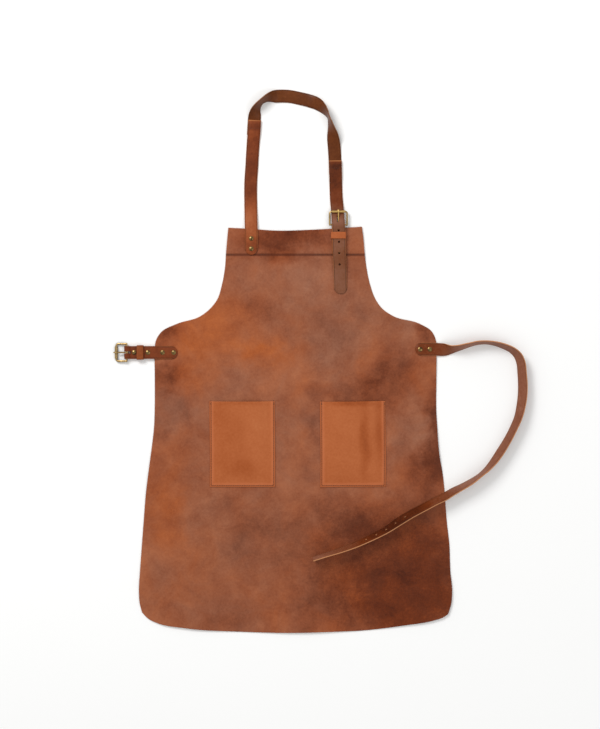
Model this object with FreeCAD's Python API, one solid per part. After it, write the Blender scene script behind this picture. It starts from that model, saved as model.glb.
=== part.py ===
import FreeCAD, Part
import math
import os

from FreeCAD import Vector

# A leather work apron, laid flat on its back with the front face up.
# +Y runs up the apron to the neck loop, +X to the right as it lies, +Z out of its front face.
# The origin is on the apron's back face: on the middle line, level with the waist straps.
# All sizes are millimetres.

# Leather and thread
PANEL_THICK = 1.6        # apron body
POCKET_THICK = 1.4
STRAP_THICK = 2.2        # neck strap, billet and waist strap
BAND_THICK = 1.8         # neck band
BUCKLE_STRAP_THICK = 1.8  # short strap that holds the neck buckle
TAB_THICK = 2.2          # short strap that holds the waist buckle
KEEPER_THICK = 1.4
THREAD_WIDE = 0.8
THREAD_HIGH = 0.4
LAYER_GAP = 0.1          # between two layers that are sewn or riveted together
CLEAR = 0.3              # between pieces that move past each other
SLOT_ROOM = 0.3          # further room each side of a prong in its slot
STRAP_WIDE = 25.0        # every strap is cut to the same width

# Apron body
BIB_HEIGHT = 241.5       # waist line to top edge
SKIRT_DEPTH = 546.5      # waist line to bottom edge
BIB_HALF = 132.0         # half width along the top edge
ARMHOLE_HALF = 138.0     # half width where the armhole curve starts
ARMHOLE_TOP = BIB_HEIGHT - 76.5   # height where the armhole curve starts
WAIST_HALF = 274.2       # half width at the waist line
WAIST_SHOULDER = 56.0    # height of the corner's top above the waist line
WAIST_CORNER = 36.0      # reach of the rounded corner above the waist
WAIST_STRAIGHT = 116.0   # length of the straight side below the waist line
HEM_HALF = 305.2         # greatest half width, just above the bottom corners
HEM_CORNER_HIGH = 78.0   # height of the greatest width above the bottom edge
FOLD_DEPTH = 54.0        # depth of the turned and sewn top hem
FOLD_RAMP = 22.0         # length over which the front layer climbs on to the hem
HEM_STITCH_UP = 2.9      # stitch line above the turned edge

# Pockets
POCKET_WIDE = 127.5
POCKET_DEEP = 167.0
POCKET_LEFT_X = -103.5   # middle of each pocket
POCKET_RIGHT_X = 112.0
POCKET_TOP = -95.0
POCKET_FLANGE = 7.0      # flat sewn margin on three sides
POCKET_SLOPE = 20.0      # width of the sloping wall inside the margin
POCKET_GAPE = 5.4        # height inside, under the raised middle
STITCH_IN = 3.0          # stitch line in from a pocket's edge

# Rivets
RIVET_CAP_R = 4.5
RIVET_CAP_HIGH = 1.8
RIVET_LOW_CAP_HIGH = 1.1  # the flatter caps that the billet lies over
RIVET_CAP_EDGE = 0.5
RIVET_DISC_R = 4.0
RIVET_DISC_HIGH = 0.8
RIVET_POST_R = 1.4
POST_CLEAR = 0.1

# Neck loop
NECK_LEFT_X = -86.0      # middle of the left strap on the bib
NECK_FOLD_Y = BIB_HEIGHT + 1.5    # line that the loop folds about
STRAP_END_Y = BIB_HEIGHT - 50.0   # lower ends of the left strap and of the buckle strap
NECK_LEFT_RIVETS_Y = [BIB_HEIGHT - 19.5, BIB_HEIGHT - 39.5]
NECK_LEFT_TOP_Y = BIB_HEIGHT + 211.3
BAND_LAP = 30.0          # length of band under each strap end
BAND_STITCH_IN = 16.0    # stitch line in from a strap's cut end
BILLET_TOP_Y = BIB_HEIGHT + 132.7
BILLET_TIP_Y = BIB_HEIGHT - 126.8
BILLET_X = 83.5          # middle of the billet at the buckle
BILLET_LEAN = 0.0245     # sideways shift of the billet per millimetre down
BILLET_BEND = 2.0        # further shift of the part above the buckle, towards the middle
HOLE_R = 2.0
HOLE_PITCH = 22.0
HOLE_COUNT = 5
PRONG_HOLE_Y = BIB_HEIGHT + 17.7
PRONG_SLOT_LONG = 11.0   # the hole in use, pulled long by the prong
BUCKLE_STRAP_RIVETS_X = BILLET_X + 2.0
BUCKLE_STRAP_RIVETS_Y = [BIB_HEIGHT - 33.5, BIB_HEIGHT - 42.9]

# Neck buckle
NECK_WIRE_R = 1.8
NECK_HEEL_Y = BIB_HEIGHT + 7.1
NECK_HEEL_RISE = 0.45    # heel bar above the middle of the buckle strap's two legs
NECK_BUCKLE_LONG = 25.6  # heel bar to front bar, centre to centre
NECK_BUCKLE_WIDE = STRAP_WIDE + 2 * NECK_WIRE_R + 5.2  # side wire to side wire, centre to centre
NECK_BAR_R = 1.3
NECK_ROLLER_R = 2.5
NECK_PRONG_R = 1.2

# Keepers
KEEPER_LONG = 13.0       # along the strap
KEEPER_TRAVEL = 4.0      # room for a keeper to slide each way on the buckle strap
KEEPER_RAMP = 4.0        # length over which the buckle strap lifts off the bib
KEEPER_ROOM = 1.0        # extra width of the neck keeper, for the billet's lean
NECK_KEEPER_X = BILLET_X + 0.2
NECK_KEEPER_Y = BIB_HEIGHT - 13.6
WAIST_KEEPER_X = -WAIST_HALF - 28.1

# Waist tab and its buckle
TAB_END_X = -WAIST_HALF + 44.2
TAB_FOLD_X = -WAIST_HALF - 4.3    # line that the tab folds about
TAB_RAMP_START = -WAIST_HALF - 2.3
TAB_RAMP_END = -WAIST_HALF + 9.6
TAB_LIFT = 1.8           # room under the free tab for rivet discs and keeper
TAB_LOWER_END_X = -WAIST_HALF - 6.8
TAB_FOLD_RIVETS_X = [-WAIST_HALF - 39.9, -WAIST_HALF - 13.2]
TAB_ANCHOR_RIVETS_X = [-WAIST_HALF + 15.2, -WAIST_HALF + 37.1]
WAIST_WIRE_R = 2.0
WAIST_HEEL_X = -WAIST_HALF - 54.8
WAIST_HEEL_RISE = 1.1    # heel bar above the middle of the tab's two legs
WAIST_BUCKLE_LONG = 20.2
WAIST_BUCKLE_WIDE = STRAP_WIDE + 2 * WAIST_WIRE_R + 4.6
WAIST_BAR_R = 1.6
WAIST_ROLLER_R = 3.1
WAIST_PRONG_R = 1.5
WAIST_SLOT_REACH = 8.5   # how far the prong's slot runs past the heel bar
ROLLER_CLEAR = 0.08      # running clearance between a bar and its roller
ROLLER_END_CLEAR = 0.4
FLOOR_CLEAR = 0.05       # between the waist buckle's roller and the floor

# Waist strap: its rivets, its fold line, and its route on the floor and over the apron.
# Each route point is the middle of the strap in plan, and its lean from flat in degrees. Its first
# number is measured to the right of the apron's side at the waist.
WAIST_STRAP_Y = 6.2
WAIST_STRAP_END_X = WAIST_HALF - 40.4
WAIST_STRAP_RIVETS_X = [WAIST_HALF - 31.2, WAIST_HALF - 12.5]
WAIST_STRAP_FOLD_X = WAIST_HALF + 10.3
WAIST_STRAP_FOLD_DEG = 50.0
WAIST_STRAP_ROUTE = [
    (17.3, 5.8, 12), (25.8, 5.4, 46), (39.6, 7.8, 63), (52.8, 11.5, 68),
    (66.8, 15.6, 73), (79.8, 18.6, 75), (93.8, 19.6, 77), (112.8, 17.4, 74),
    (133.3, 11.2, 69), (150.8, 3.5, 65), (159.4, -6.5, 59), (164.2, -19.0, 56),
    (166.3, -40.5, 55), (167.8, -62.0, 53), (167.4, -82.0, 53), (165.0, -100.5, 55),
    (157.8, -128.0, 61), (149.8, -147.5, 63), (142.1, -163.0, 63), (133.3, -178.5, 62),
    (123.6, -194.0, 61), (112.8, -209.5, 65), (100.8, -224.0, 72), (85.8, -237.5, 78),
    (66.3, -251.5, 72), (46.8, -262.5, 67), (30.8, -271.0, 62), (16.3, -280.0, 60),
    (-4.2, -290.0, 60), (-23.7, -300.5, 60), (-49.2, -314.0, 59), (-73.2, -328.5, 58),
    (-96.2, -344.0, 65), (-129.2, -361.0, 69), (-159.7, -374.5, 72),
    (-187.2, -384.5, 75), (-212.7, -392.5, 78), (-240.2, -401.5, 80),
]
WAIST_STRAP_OVER_APRON = 26  # how many stations of the strap come before it climbs on to the apron

# Neck band: middle of the band in plan, measured from the bib's top edge, and its lean from flat,
# from under the left strap to under the billet
NECK_BAND_ROUTE = [
    (-82.0, 182.5, 0), (-80.0, 214.5, 0), (-79.0, 221.5, 20), (-76.8, 229.5, 48),
    (-72.6, 238.5, 68), (-65.3, 246.8, 76), (-56.0, 252.5, 66), (-46.0, 255.5, 42),
    (-36.0, 256.9, 12), (-11.0, 257.1, 2), (9.0, 253.5, 2), (28.0, 248.9, 8),
    (40.5, 243.5, 24), (50.5, 235.5, 46), (58.5, 226.0, 68), (64.0, 216.5, 82),
    (67.4, 205.5, 76), (70.5, 192.5, 58), (73.2, 179.5, 30), (75.4, 165.5, 8),
    (77.0, 143.5, 0), (78.2, 104.5, 0),
]

ALONG_X = Vector(1, 0, 0)
ALONG_Y = Vector(0, 1, 0)
ALONG_Z = Vector(0, 0, 1)


def save(name, *solids):
    """Write one node: a single solid, or a group of like solids."""
    shape = solids[0] if len(solids) == 1 else Part.makeCompound(list(solids))
    shape.exportStep(f"parts/{name}.step")


def strip(centres, across, width, thickness):
    """A flat strap: rectangles square to a line of centres, joined in turn by ruled faces."""
    rings = []
    for i, centre in enumerate(centres):
        along = Vector(0, 0, 0)
        if i > 0:
            along += (centre - centres[i - 1]).normalize()
        if i < len(centres) - 1:
            along += (centres[i + 1] - centre).normalize()
        side = Vector(across[i] if isinstance(across, list) else across).normalize()
        up = side.cross(along).normalize() * (thickness / 2)
        side = side * (width / 2)
        corners = [centre + side + up, centre - side + up, centre - side - up, centre + side - up]
        rings.append(Part.makePolygon(corners + corners[:1]))
    return Part.makeLoft(rings, True, True)


def leaning_strip(route, floor, width, thickness):
    """A strap that leans on its right-hand edge, whose lowest corner stays at the floor height."""
    centres = []
    across = []
    for i, (x, y, lean) in enumerate(route):
        before = route[max(i - 1, 0)]
        after = route[min(i + 1, len(route) - 1)]
        heading = Vector(after[0] - before[0], after[1] - before[1], 0).normalize()
        left = Vector(-heading.y, heading.x, 0)
        lean = math.radians(lean)
        across.append(left * math.cos(lean) + ALONG_Z * math.sin(lean))
        height = width / 2 * math.sin(lean) + thickness / 2 * math.cos(lean)
        centres.append(Vector(x, y, floor[i] + height))
    return strip(centres, across, width, thickness)


def turn_points(centre, radius, start_deg, end_deg, steps):
    """Points round an arc in a side view: pairs of distance along the strap and height."""
    points = []
    for i in range(steps + 1):
        angle = math.radians(start_deg + (end_deg - start_deg) * i / steps)
        points.append((centre[0] + radius * math.cos(angle), centre[1] + radius * math.sin(angle)))
    return points


def rod(start, end, radius):
    """A straight round bar between two points."""
    return Part.makeCylinder(radius, (end - start).Length, start, end - start)


def block(x0, x1, y0, y1, z0, z1):
    """A box between two corners."""
    return Part.makeBox(x1 - x0, y1 - y0, z1 - z0, Vector(x0, y0, z0))


def end_trim(tip, pointing, width):
    """What a round-ended knife takes off a strap's end: the two corners outside a half circle."""
    radius = width / 2
    inward = Vector(pointing).normalize() * -radius
    side = Vector(-inward.y, inward.x, 0).normalize() * (radius + 1)
    middle = tip + inward
    far = tip - inward * 0.2
    corners = [middle + side, middle - side, far - side, far + side]
    face = Part.Face(Part.makePolygon(corners + corners[:1]))
    face.translate(Vector(0, 0, -20))
    blade = face.extrude(Vector(0, 0, 60))
    return blade.cut(Part.makeCylinder(radius, 80, middle - ALONG_Z * 30))


def rivet(x, y, bottom, top, cap_high=RIVET_CAP_HIGH):
    """A two-piece rivet: a domed cap on top, and a stud with its disc under the lowest layer."""
    rise = cap_high - RIVET_CAP_EDGE
    dome_r = (RIVET_CAP_R ** 2 + rise ** 2) / (2 * rise)
    edge = top + RIVET_CAP_EDGE
    ball = Part.makeSphere(dome_r, Vector(x, y, edge + rise - dome_r))
    cap = ball.common(Part.makeCylinder(RIVET_CAP_R, 10, Vector(x, y, edge)))
    cap = cap.fuse(Part.makeCylinder(RIVET_CAP_R, RIVET_CAP_EDGE, Vector(x, y, top))).removeSplitter()
    socket_top = top + cap_high * 0.5
    socket = rod(Vector(x, y, top - 1), Vector(x, y, socket_top), RIVET_POST_R + POST_CLEAR)
    disc = rod(Vector(x, y, bottom), Vector(x, y, bottom + RIVET_DISC_HIGH), RIVET_DISC_R)
    post = rod(Vector(x, y, bottom), Vector(x, y, socket_top - POST_CLEAR), RIVET_POST_R)
    return cap.cut(socket), disc.fuse(post).removeSplitter()


def post_hole(x, y):
    """The hole that a rivet's post needs in a layer of leather."""
    return Part.makeCylinder(RIVET_POST_R + POST_CLEAR, 40, Vector(x, y, -10))


def disc_recess(x, y):
    """The dent that a rivet's disc presses into the apron's back."""
    depth = RIVET_DISC_HIGH + POST_CLEAR
    return Part.makeCylinder(RIVET_DISC_R + POST_CLEAR, depth + 1, Vector(x, y, -1))


def pierce(leather, tools):
    """Cut each tool out of a piece of leather."""
    for tool in tools:
        leather = leather.cut(tool)
    return leather


def parted(strap, point, direction, keep):
    """The part of a strap on one side of an upright plane through a fold line."""
    side = Vector(keep).normalize()
    along = Vector(direction).normalize()
    reach = 2 * SKIRT_DEPTH
    start = point - along * reach - ALONG_Z * 20
    across = side * reach
    corners = [start, start + along * 2 * reach, start + along * 2 * reach + across, start + across]
    half = Part.Face(Part.makePolygon(corners + corners[:1])).extrude(Vector(0, 0, 80))
    return strap.common(half)


os.makedirs("parts", exist_ok=True)

# Apron body: one sheet, turned under along the top and cut to the outline
hem_low = PANEL_THICK / 2
hem_high = hem_low + PANEL_THICK + 2 * LAYER_GAP
bib_top = hem_high + PANEL_THICK / 2      # front surface of the bib, over the turned hem
hem_edge = BIB_HEIGHT - FOLD_DEPTH
turn_r = (hem_high - hem_low) / 2
turn_y = BIB_HEIGHT - turn_r - PANEL_THICK / 2
side_view = [(-SKIRT_DEPTH - 1, hem_low), (hem_edge - FOLD_RAMP, hem_low), (hem_edge, hem_high)]
side_view += turn_points((turn_y, hem_low + turn_r), turn_r, 90, -90, 6)
side_view += [(hem_edge, hem_low)]
sheet = strip([Vector(0, y, z) for y, z in side_view], ALONG_X, 3 * HEM_HALF, PANEL_THICK)


def outline_side(side, corner_drop):
    """One side's cutting line, from the top edge down to the middle of the bottom edge."""
    hem_y = HEM_CORNER_HIGH - SKIRT_DEPTH
    armhole = [
        (ARMHOLE_HALF, ARMHOLE_TOP), (ARMHOLE_HALF + 10, ARMHOLE_TOP - 44),
        (ARMHOLE_HALF + 28, ARMHOLE_TOP - 78), (ARMHOLE_HALF + 52, ARMHOLE_TOP - 94),
        (WAIST_HALF - WAIST_CORNER, WAIST_SHOULDER), (WAIST_HALF - 8, WAIST_SHOULDER - 17),
        (WAIST_HALF, WAIST_SHOULDER - 44),
    ]
    skirt = [
        (WAIST_HALF, -WAIST_STRAIGHT), (WAIST_HALF + 5, -WAIST_STRAIGHT - 62),
        (WAIST_HALF + 17, -WAIST_STRAIGHT - 170), (HEM_HALF - 5, hem_y + 75), (HEM_HALF, hem_y),
        (HEM_HALF - 7, hem_y - 44), (HEM_HALF - 33, hem_y - 59 - corner_drop),
        (HEM_HALF - 92, hem_y - 67 - corner_drop), (HEM_HALF - 200, -SKIRT_DEPTH + 3),
        (0, -SKIRT_DEPTH),
    ]
    edges = []
    top = Vector(side * BIB_HALF, BIB_HEIGHT + 2, 0)
    for points in (armhole, skirt):
        curve = Part.BSplineCurve()
        curve.interpolate([Vector(side * x, y, 0) for x, y in points])
        start = curve.value(curve.FirstParameter)
        edges += [Part.makeLine(top, start), curve.toShape()]
        top = curve.value(curve.LastParameter)
    return edges


left_side = outline_side(-1, 3.5)
right_side = outline_side(1, 0)
top_line = Part.makeLine(left_side[0].Vertexes[0].Point, right_side[0].Vertexes[0].Point)
outline = Part.Wire(Part.__sortEdges__(left_side + right_side + [top_line]))
cutter = Part.Face(outline).extrude(Vector(0, 0, 20))
cutter.translate(Vector(0, 0, -5))
panel = sheet.common(cutter)

neck_rivets = [(NECK_LEFT_X, y) for y in NECK_LEFT_RIVETS_Y]
buckle_strap_rivets = [(BUCKLE_STRAP_RIVETS_X, y) for y in BUCKLE_STRAP_RIVETS_Y]
tab_rivets = [(x, 0) for x in TAB_ANCHOR_RIVETS_X]
waist_rivets = [(x, WAIST_STRAP_Y) for x in WAIST_STRAP_RIVETS_X]
for x, y in neck_rivets + buckle_strap_rivets + tab_rivets + waist_rivets:
    panel = pierce(panel, [post_hole(x, y), disc_recess(x, y)])
save("apron_panel", panel)

stitch_y = hem_edge + HEM_STITCH_UP
save("hem_thread", block(-BIB_HALF, BIB_HALF, stitch_y - THREAD_WIDE / 2, stitch_y + THREAD_WIDE / 2,
                         bib_top, bib_top + THREAD_HIGH))


# Pockets: a flat margin sewn on three sides, and a raised middle that is open at the top
def pocket(middle, name):
    """One patch pocket and its line of stitching."""
    low = PANEL_THICK + LAYER_GAP
    x0, x1 = middle - POCKET_WIDE / 2, middle + POCKET_WIDE / 2
    y0, y1 = POCKET_TOP - POCKET_DEEP, POCKET_TOP

    def raised(inset, height, bottom):
        """A low mound over the pocket's middle that runs out through its mouth."""
        rings = []
        for edge, z in ((POCKET_FLANGE + inset, bottom), (POCKET_FLANGE + POCKET_SLOPE, height)):
            a, b, c = x0 + edge, x1 - edge, y0 + edge
            corners = [Vector(a, c, z), Vector(b, c, z), Vector(b, y1, z), Vector(a, y1, z)]
            rings.append(Part.makePolygon(corners + corners[:1]))
        return Part.makeLoft(rings, True, True)

    shell = block(x0, x1, y0, y1, low, low + POCKET_THICK)
    shell = shell.fuse(raised(0, low + POCKET_GAPE + POCKET_THICK, low))
    shell = shell.cut(raised(POCKET_THICK * 2, low + POCKET_GAPE, low - 0.01))
    save(f"pocket_{name}", shell.removeSplitter())
    a, b, c = x0 + STITCH_IN, x1 - STITCH_IN, y0 + STITCH_IN
    z0 = low + POCKET_THICK
    z1 = z0 + THREAD_HIGH
    seam = block(a, a + THREAD_WIDE, c, y1, z0, z1).fuse(block(b - THREAD_WIDE, b, c, y1, z0, z1))
    seam = seam.fuse(block(a, b, c, c + THREAD_WIDE, z0, z1))
    save(f"pocket_{name}_thread", seam.removeSplitter())


pocket(POCKET_LEFT_X, "left")
pocket(POCKET_RIGHT_X, "right")

# Left neck strap: riveted to the bib, drops to the floor, ends over the band
strap_low = bib_top + LAYER_GAP
band_over = BAND_THICK + LAYER_GAP
half_strap = STRAP_THICK / 2
left_line = [
    Vector(NECK_LEFT_X, STRAP_END_Y, strap_low + half_strap),
    Vector(NECK_LEFT_X, BIB_HEIGHT + 8, strap_low + half_strap),
    Vector(NECK_LEFT_X - 0.5, BIB_HEIGHT + 45, half_strap),
    Vector(NECK_LEFT_X + 0.5, BIB_HEIGHT + 108.5, half_strap),
    Vector(NECK_LEFT_X + 3, NECK_LEFT_TOP_Y - BAND_LAP - 15, half_strap),
    Vector(NECK_LEFT_X + 4, NECK_LEFT_TOP_Y - BAND_LAP, band_over + half_strap),
    Vector(NECK_LEFT_X + 6, NECK_LEFT_TOP_Y, band_over + half_strap),
]
left_strap = strip(left_line, ALONG_X, STRAP_WIDE, STRAP_THICK)
left_strap = left_strap.cut(end_trim(left_line[0], -ALONG_Y, STRAP_WIDE))
left_strap = pierce(left_strap, [post_hole(x, y) for x, y in neck_rivets])


def loop_part(strap):
    """The part of a neck piece above the fold line."""
    return strap.common(block(-HEM_HALF, HEM_HALF, NECK_FOLD_Y, 3 * NECK_FOLD_Y, -20, 60))


def bib_part(strap):
    """The part of a neck piece below the fold line."""
    return strap.common(block(-HEM_HALF, HEM_HALF, -NECK_FOLD_Y, NECK_FOLD_Y, -20, 60))


save("neck_strap_left_anchor", bib_part(left_strap))
save("neck_strap_left", loop_part(left_strap))

# Neck band: lies flat across the top and stands on its edge round both corners
band_route = [(x, BIB_HEIGHT + y, lean) for x, y, lean in NECK_BAND_ROUTE]
band = leaning_strip(band_route, [0.0] * len(band_route), STRAP_WIDE, BAND_THICK)
save("neck_band", band)
left_seam_y = NECK_LEFT_TOP_Y - BAND_STITCH_IN
right_seam_y = BILLET_TOP_Y - BAND_STITCH_IN
seam_top = band_over + STRAP_THICK
seam_half = STRAP_WIDE / 2 - STITCH_IN
left_seam_x = NECK_LEFT_X + 5
billet_top_x = BILLET_X - BILLET_LEAN * (BILLET_TOP_Y - NECK_HEEL_Y) - BILLET_BEND
save("neck_band_thread", *[
    block(x - seam_half, x + seam_half, y, y + THREAD_WIDE, seam_top, seam_top + THREAD_HIGH)
    for x, y in ((left_seam_x, left_seam_y), (billet_top_x, right_seam_y))
])

# Buckle strap: riveted to the bib and folded round the neck buckle's heel bar
leg = BUCKLE_STRAP_THICK / 2
low_leg = strap_low + leg
lift = KEEPER_THICK + 2 * LAYER_GAP
layer = BUCKLE_STRAP_THICK + LAYER_GAP
fold_r = NECK_WIRE_R + CLEAR + leg
keeper_reach = KEEPER_LONG / 2 + KEEPER_TRAVEL
raised_low = low_leg + lift
raised_high = raised_low + layer
neck_heel_z = raised_low + layer / 2 + NECK_HEEL_RISE
ramp_top = NECK_KEEPER_Y - keeper_reach
ramp_foot = ramp_top - KEEPER_RAMP
buckle_strap_line = [(STRAP_END_Y, low_leg), (ramp_foot, low_leg), (ramp_top, raised_low),
                     (NECK_FOLD_Y - 1, raised_low)]
buckle_strap_line += turn_points((NECK_HEEL_Y, neck_heel_z), fold_r, -100, 120, 12)
buckle_strap_line += [(NECK_FOLD_Y - 1, raised_high), (ramp_top, raised_high),
                      (ramp_foot, low_leg + layer), (STRAP_END_Y, low_leg + layer)]
buckle_strap = strip([Vector(BILLET_X, y, z) for y, z in buckle_strap_line], ALONG_X,
                     STRAP_WIDE, BUCKLE_STRAP_THICK)
strap_tip = Vector(BILLET_X, STRAP_END_Y, 0)
prong_slot = NECK_PRONG_R + CLEAR + SLOT_ROOM
buckle_strap = pierce(buckle_strap, [
    end_trim(strap_tip, -ALONG_Y, STRAP_WIDE),
    block(BILLET_X - prong_slot, BILLET_X + prong_slot, NECK_FOLD_Y + 0.2, NECK_HEEL_Y + 10, -5, 30),
] + [post_hole(x, y) for x, y in buckle_strap_rivets])
save("buckle_strap_anchor", bib_part(buckle_strap))
save("buckle_strap_fold", loop_part(buckle_strap))
buckle_strap_top = raised_high + leg

# Billet: sewn to the band, under the buckle's roller, over its heel bar, through the keeper
billet_high = buckle_strap_top + CLEAR + half_strap
heel_high = neck_heel_z + fold_r + leg + CLEAR + half_strap
front_y = NECK_HEEL_Y + NECK_BUCKLE_LONG
under_roller = neck_heel_z - NECK_ROLLER_R - CLEAR - half_strap
billet_line = [
    (BILLET_TOP_Y, band_over + half_strap), (BILLET_TOP_Y - BAND_LAP, band_over + half_strap),
    (BILLET_TOP_Y - BAND_LAP - 16, half_strap), (front_y + 14, half_strap),
    (front_y + 3, under_roller - 0.6), (front_y - 3, under_roller - 0.2),
    (NECK_HEEL_Y + 6, heel_high - 0.6), (NECK_HEEL_Y + 2, heel_high), (NECK_HEEL_Y - 2, heel_high),
    (NECK_KEEPER_Y + keeper_reach, billet_high), (BUCKLE_STRAP_RIVETS_Y[-1] - 6, billet_high),
    (hem_edge - 19.5, bib_top + half_strap), (BILLET_TIP_Y + 15.3, PANEL_THICK + CLEAR + half_strap),
    (BILLET_TIP_Y, PANEL_THICK + CLEAR + half_strap),
]


def billet_x(y):
    """The billet leans a little: its middle line at a height up the apron."""
    return BILLET_X - BILLET_LEAN * (y - NECK_HEEL_Y)


def billet_shift(y):
    """The billet's middle, bent a little more upright beside the bib."""
    return billet_x(y) - (BILLET_BEND if y > front_y + 20 else 0)


billet = strip([Vector(billet_shift(y), y, z) for y, z in billet_line], ALONG_X, STRAP_WIDE, STRAP_THICK)
tip = Vector(billet_shift(BILLET_TIP_Y), BILLET_TIP_Y, 0)
billet = billet.cut(end_trim(tip, -ALONG_Y, STRAP_WIDE))
billet_holes = []
for i in range(1, HOLE_COUNT):
    y = PRONG_HOLE_Y - i * HOLE_PITCH
    billet_holes.append(Part.makeCylinder(HOLE_R, 60, Vector(billet_shift(y), y, -20)))
slot_half = PRONG_SLOT_LONG / 2
billet_holes.append(block(BILLET_X - HOLE_R, BILLET_X + HOLE_R, PRONG_HOLE_Y - slot_half,
                          PRONG_HOLE_Y + slot_half, -20, 40))
billet = pierce(billet, billet_holes)
save("neck_billet_tail", bib_part(billet))
save("neck_billet", loop_part(billet))


# Neck keeper: a closed loop of leather round the buckle strap and the billet
def keeper(width, low, high, long, thickness):
    """A square loop about the origin, along X, round everything between two heights."""
    half = width / 2 + CLEAR
    side = half + thickness
    outer = block(-long / 2, long / 2, -side, side, low - thickness, high + thickness)
    return outer.cut(block(-long / 2 - 1, long / 2 + 1, -half, half, low, high))


neck_loop_low = raised_low - leg - LAYER_GAP
neck_loop_high = billet_high + half_strap + CLEAR
neck_keeper = keeper(STRAP_WIDE + KEEPER_ROOM, neck_loop_low, neck_loop_high, KEEPER_LONG, KEEPER_THICK)
neck_keeper.rotate(Vector(0, 0, 0), ALONG_Z, 90)
neck_keeper.translate(Vector(NECK_KEEPER_X, NECK_KEEPER_Y, 0))
save("neck_keeper", neck_keeper)


# Buckles: a wire frame with a thinner front bar, a roller on that bar, and a prong on the heel bar
def buckle_frame(long, wide, wire_r, bar_r, reach):
    """The frame about its heel bar at the origin, with its front bar at +X."""
    corner = wire_r * 2.2
    half = wide / 2
    bars = [
        rod(Vector(0, -half, 0), Vector(0, half, 0), wire_r),
        rod(Vector(long, -half + corner, 0), Vector(long, half - corner, 0), bar_r),
    ]
    frame = bars[0].fuse(bars[1])
    for side in (-1, 1):
        bend = Part.makeTorus(corner, wire_r, Vector(long - corner, side * (half - corner), 0), ALONG_Z)
        x0 = long - corner
        y0 = side * (half - corner)
        quarter = block(x0, x0 + 20, min(y0, y0 + side * 20), max(y0, y0 + side * 20), -9, 9)
        pieces = [rod(Vector(0, side * half, 0), Vector(x0, side * half, 0), wire_r),
                  bend.common(quarter), Part.makeSphere(wire_r, Vector(0, side * half, 0))]
        for piece in pieces:
            frame = frame.fuse(piece)
    return frame.removeSplitter(), half - corner - reach


def roller(long, half, roller_r, bar_r):
    """A tube that turns on the front bar."""
    start, end = Vector(long, -half, 0), Vector(long, half, 0)
    return rod(start, end, roller_r).cut(rod(start, end, bar_r + ROLLER_CLEAR))


def prong(long, roller_r, heel_r, prong_r, rise):
    """A bent pin: an eye round the heel bar, and a point that rests on the roller."""
    eye = heel_r + ROLLER_CLEAR
    width = prong_r * 1.9
    ring = Part.makeCylinder(eye + prong_r * 1.3, width, Vector(0, -width / 2, 0), ALONG_Y)
    ring = ring.cut(Part.makeCylinder(eye, width + 2, Vector(0, -width / 2 - 1, 0), ALONG_Y))
    over = roller_r + CLEAR + prong_r
    start = Vector(eye + prong_r * 0.65, 0, rise)
    points = [start, Vector(long, 0, over), Vector(long + roller_r + 0.6, 0, over - 1.2)]
    pin = ring
    for a, b in zip(points, points[1:]):
        pin = pin.fuse(rod(a, b, prong_r))
    for point in points[1:]:
        pin = pin.fuse(Part.makeSphere(prong_r, point))
    return pin.removeSplitter()


def placed(shape, spin, tilt, heel):
    """Turn a buckle piece about its heel bar, then carry it to its place."""
    shape = shape.copy()
    shape.rotate(Vector(0, 0, 0), ALONG_Y, tilt)
    shape.rotate(Vector(0, 0, 0), ALONG_Z, spin)
    shape.translate(heel)
    return shape


neck_heel = Vector(BILLET_X, NECK_HEEL_Y, neck_heel_z)
frame, half = buckle_frame(NECK_BUCKLE_LONG, NECK_BUCKLE_WIDE, NECK_WIRE_R, NECK_BAR_R, ROLLER_END_CLEAR)
save("neck_buckle_frame", placed(frame, 90, 0, neck_heel))
save("neck_roller", placed(roller(NECK_BUCKLE_LONG, half, NECK_ROLLER_R, NECK_BAR_R), 90, 0, neck_heel))
neck_pin = prong(NECK_BUCKLE_LONG, NECK_ROLLER_R, NECK_WIRE_R, NECK_PRONG_R, 0.6)
save("neck_prong", placed(neck_pin, 90, 0, neck_heel))

# Waist tab: riveted to the apron, doubled back under itself round the buckle's heel bar
half_tab = TAB_THICK / 2
lower_leg = TAB_LIFT + half_tab
upper_leg = lower_leg + TAB_THICK + 2 * LAYER_GAP
tab_fold_r = WAIST_WIRE_R + CLEAR + half_tab
waist_heel_z = (lower_leg + upper_leg) / 2 + WAIST_HEEL_RISE
on_panel = PANEL_THICK + LAYER_GAP + half_tab
tab_line = [(TAB_END_X, on_panel), (TAB_RAMP_END, on_panel), (TAB_RAMP_START, upper_leg),
            (WAIST_HEEL_X + 2 * tab_fold_r, upper_leg)]
tab_line += turn_points((WAIST_HEEL_X, waist_heel_z), tab_fold_r, 60, 280, 12)
tab_line += [(WAIST_HEEL_X + 2 * tab_fold_r, lower_leg), (TAB_LOWER_END_X, lower_leg)]
tab = strip([Vector(x, 0, z) for x, z in tab_line], ALONG_Y, STRAP_WIDE, TAB_THICK)
waist_slot = WAIST_PRONG_R + CLEAR + SLOT_ROOM
tab_end_knife = end_trim(Vector(TAB_END_X, 0, 0), ALONG_X, STRAP_WIDE)
tab = pierce(tab, [
    tab_end_knife,
    block(WAIST_HEEL_X - 10, WAIST_HEEL_X + WAIST_SLOT_REACH, -waist_slot, waist_slot, -5, 30),
] + [post_hole(x, 0) for x in TAB_ANCHOR_RIVETS_X + TAB_FOLD_RIVETS_X])
save("waist_tab_anchor", tab.common(block(TAB_FOLD_X, 0, -40, 40, -20, 40)))
save("waist_tab", tab.common(block(2 * TAB_FOLD_X, TAB_FOLD_X, -40, 40, -20, 40)))

tab_top = upper_leg + half_tab
waist_keeper = keeper(STRAP_WIDE, TAB_LIFT - LAYER_GAP, tab_top + STRAP_THICK + 2 * CLEAR, KEEPER_LONG,
                      KEEPER_THICK)
waist_keeper.translate(Vector(WAIST_KEEPER_X, 0, 0))
save("waist_keeper", waist_keeper)

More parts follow.
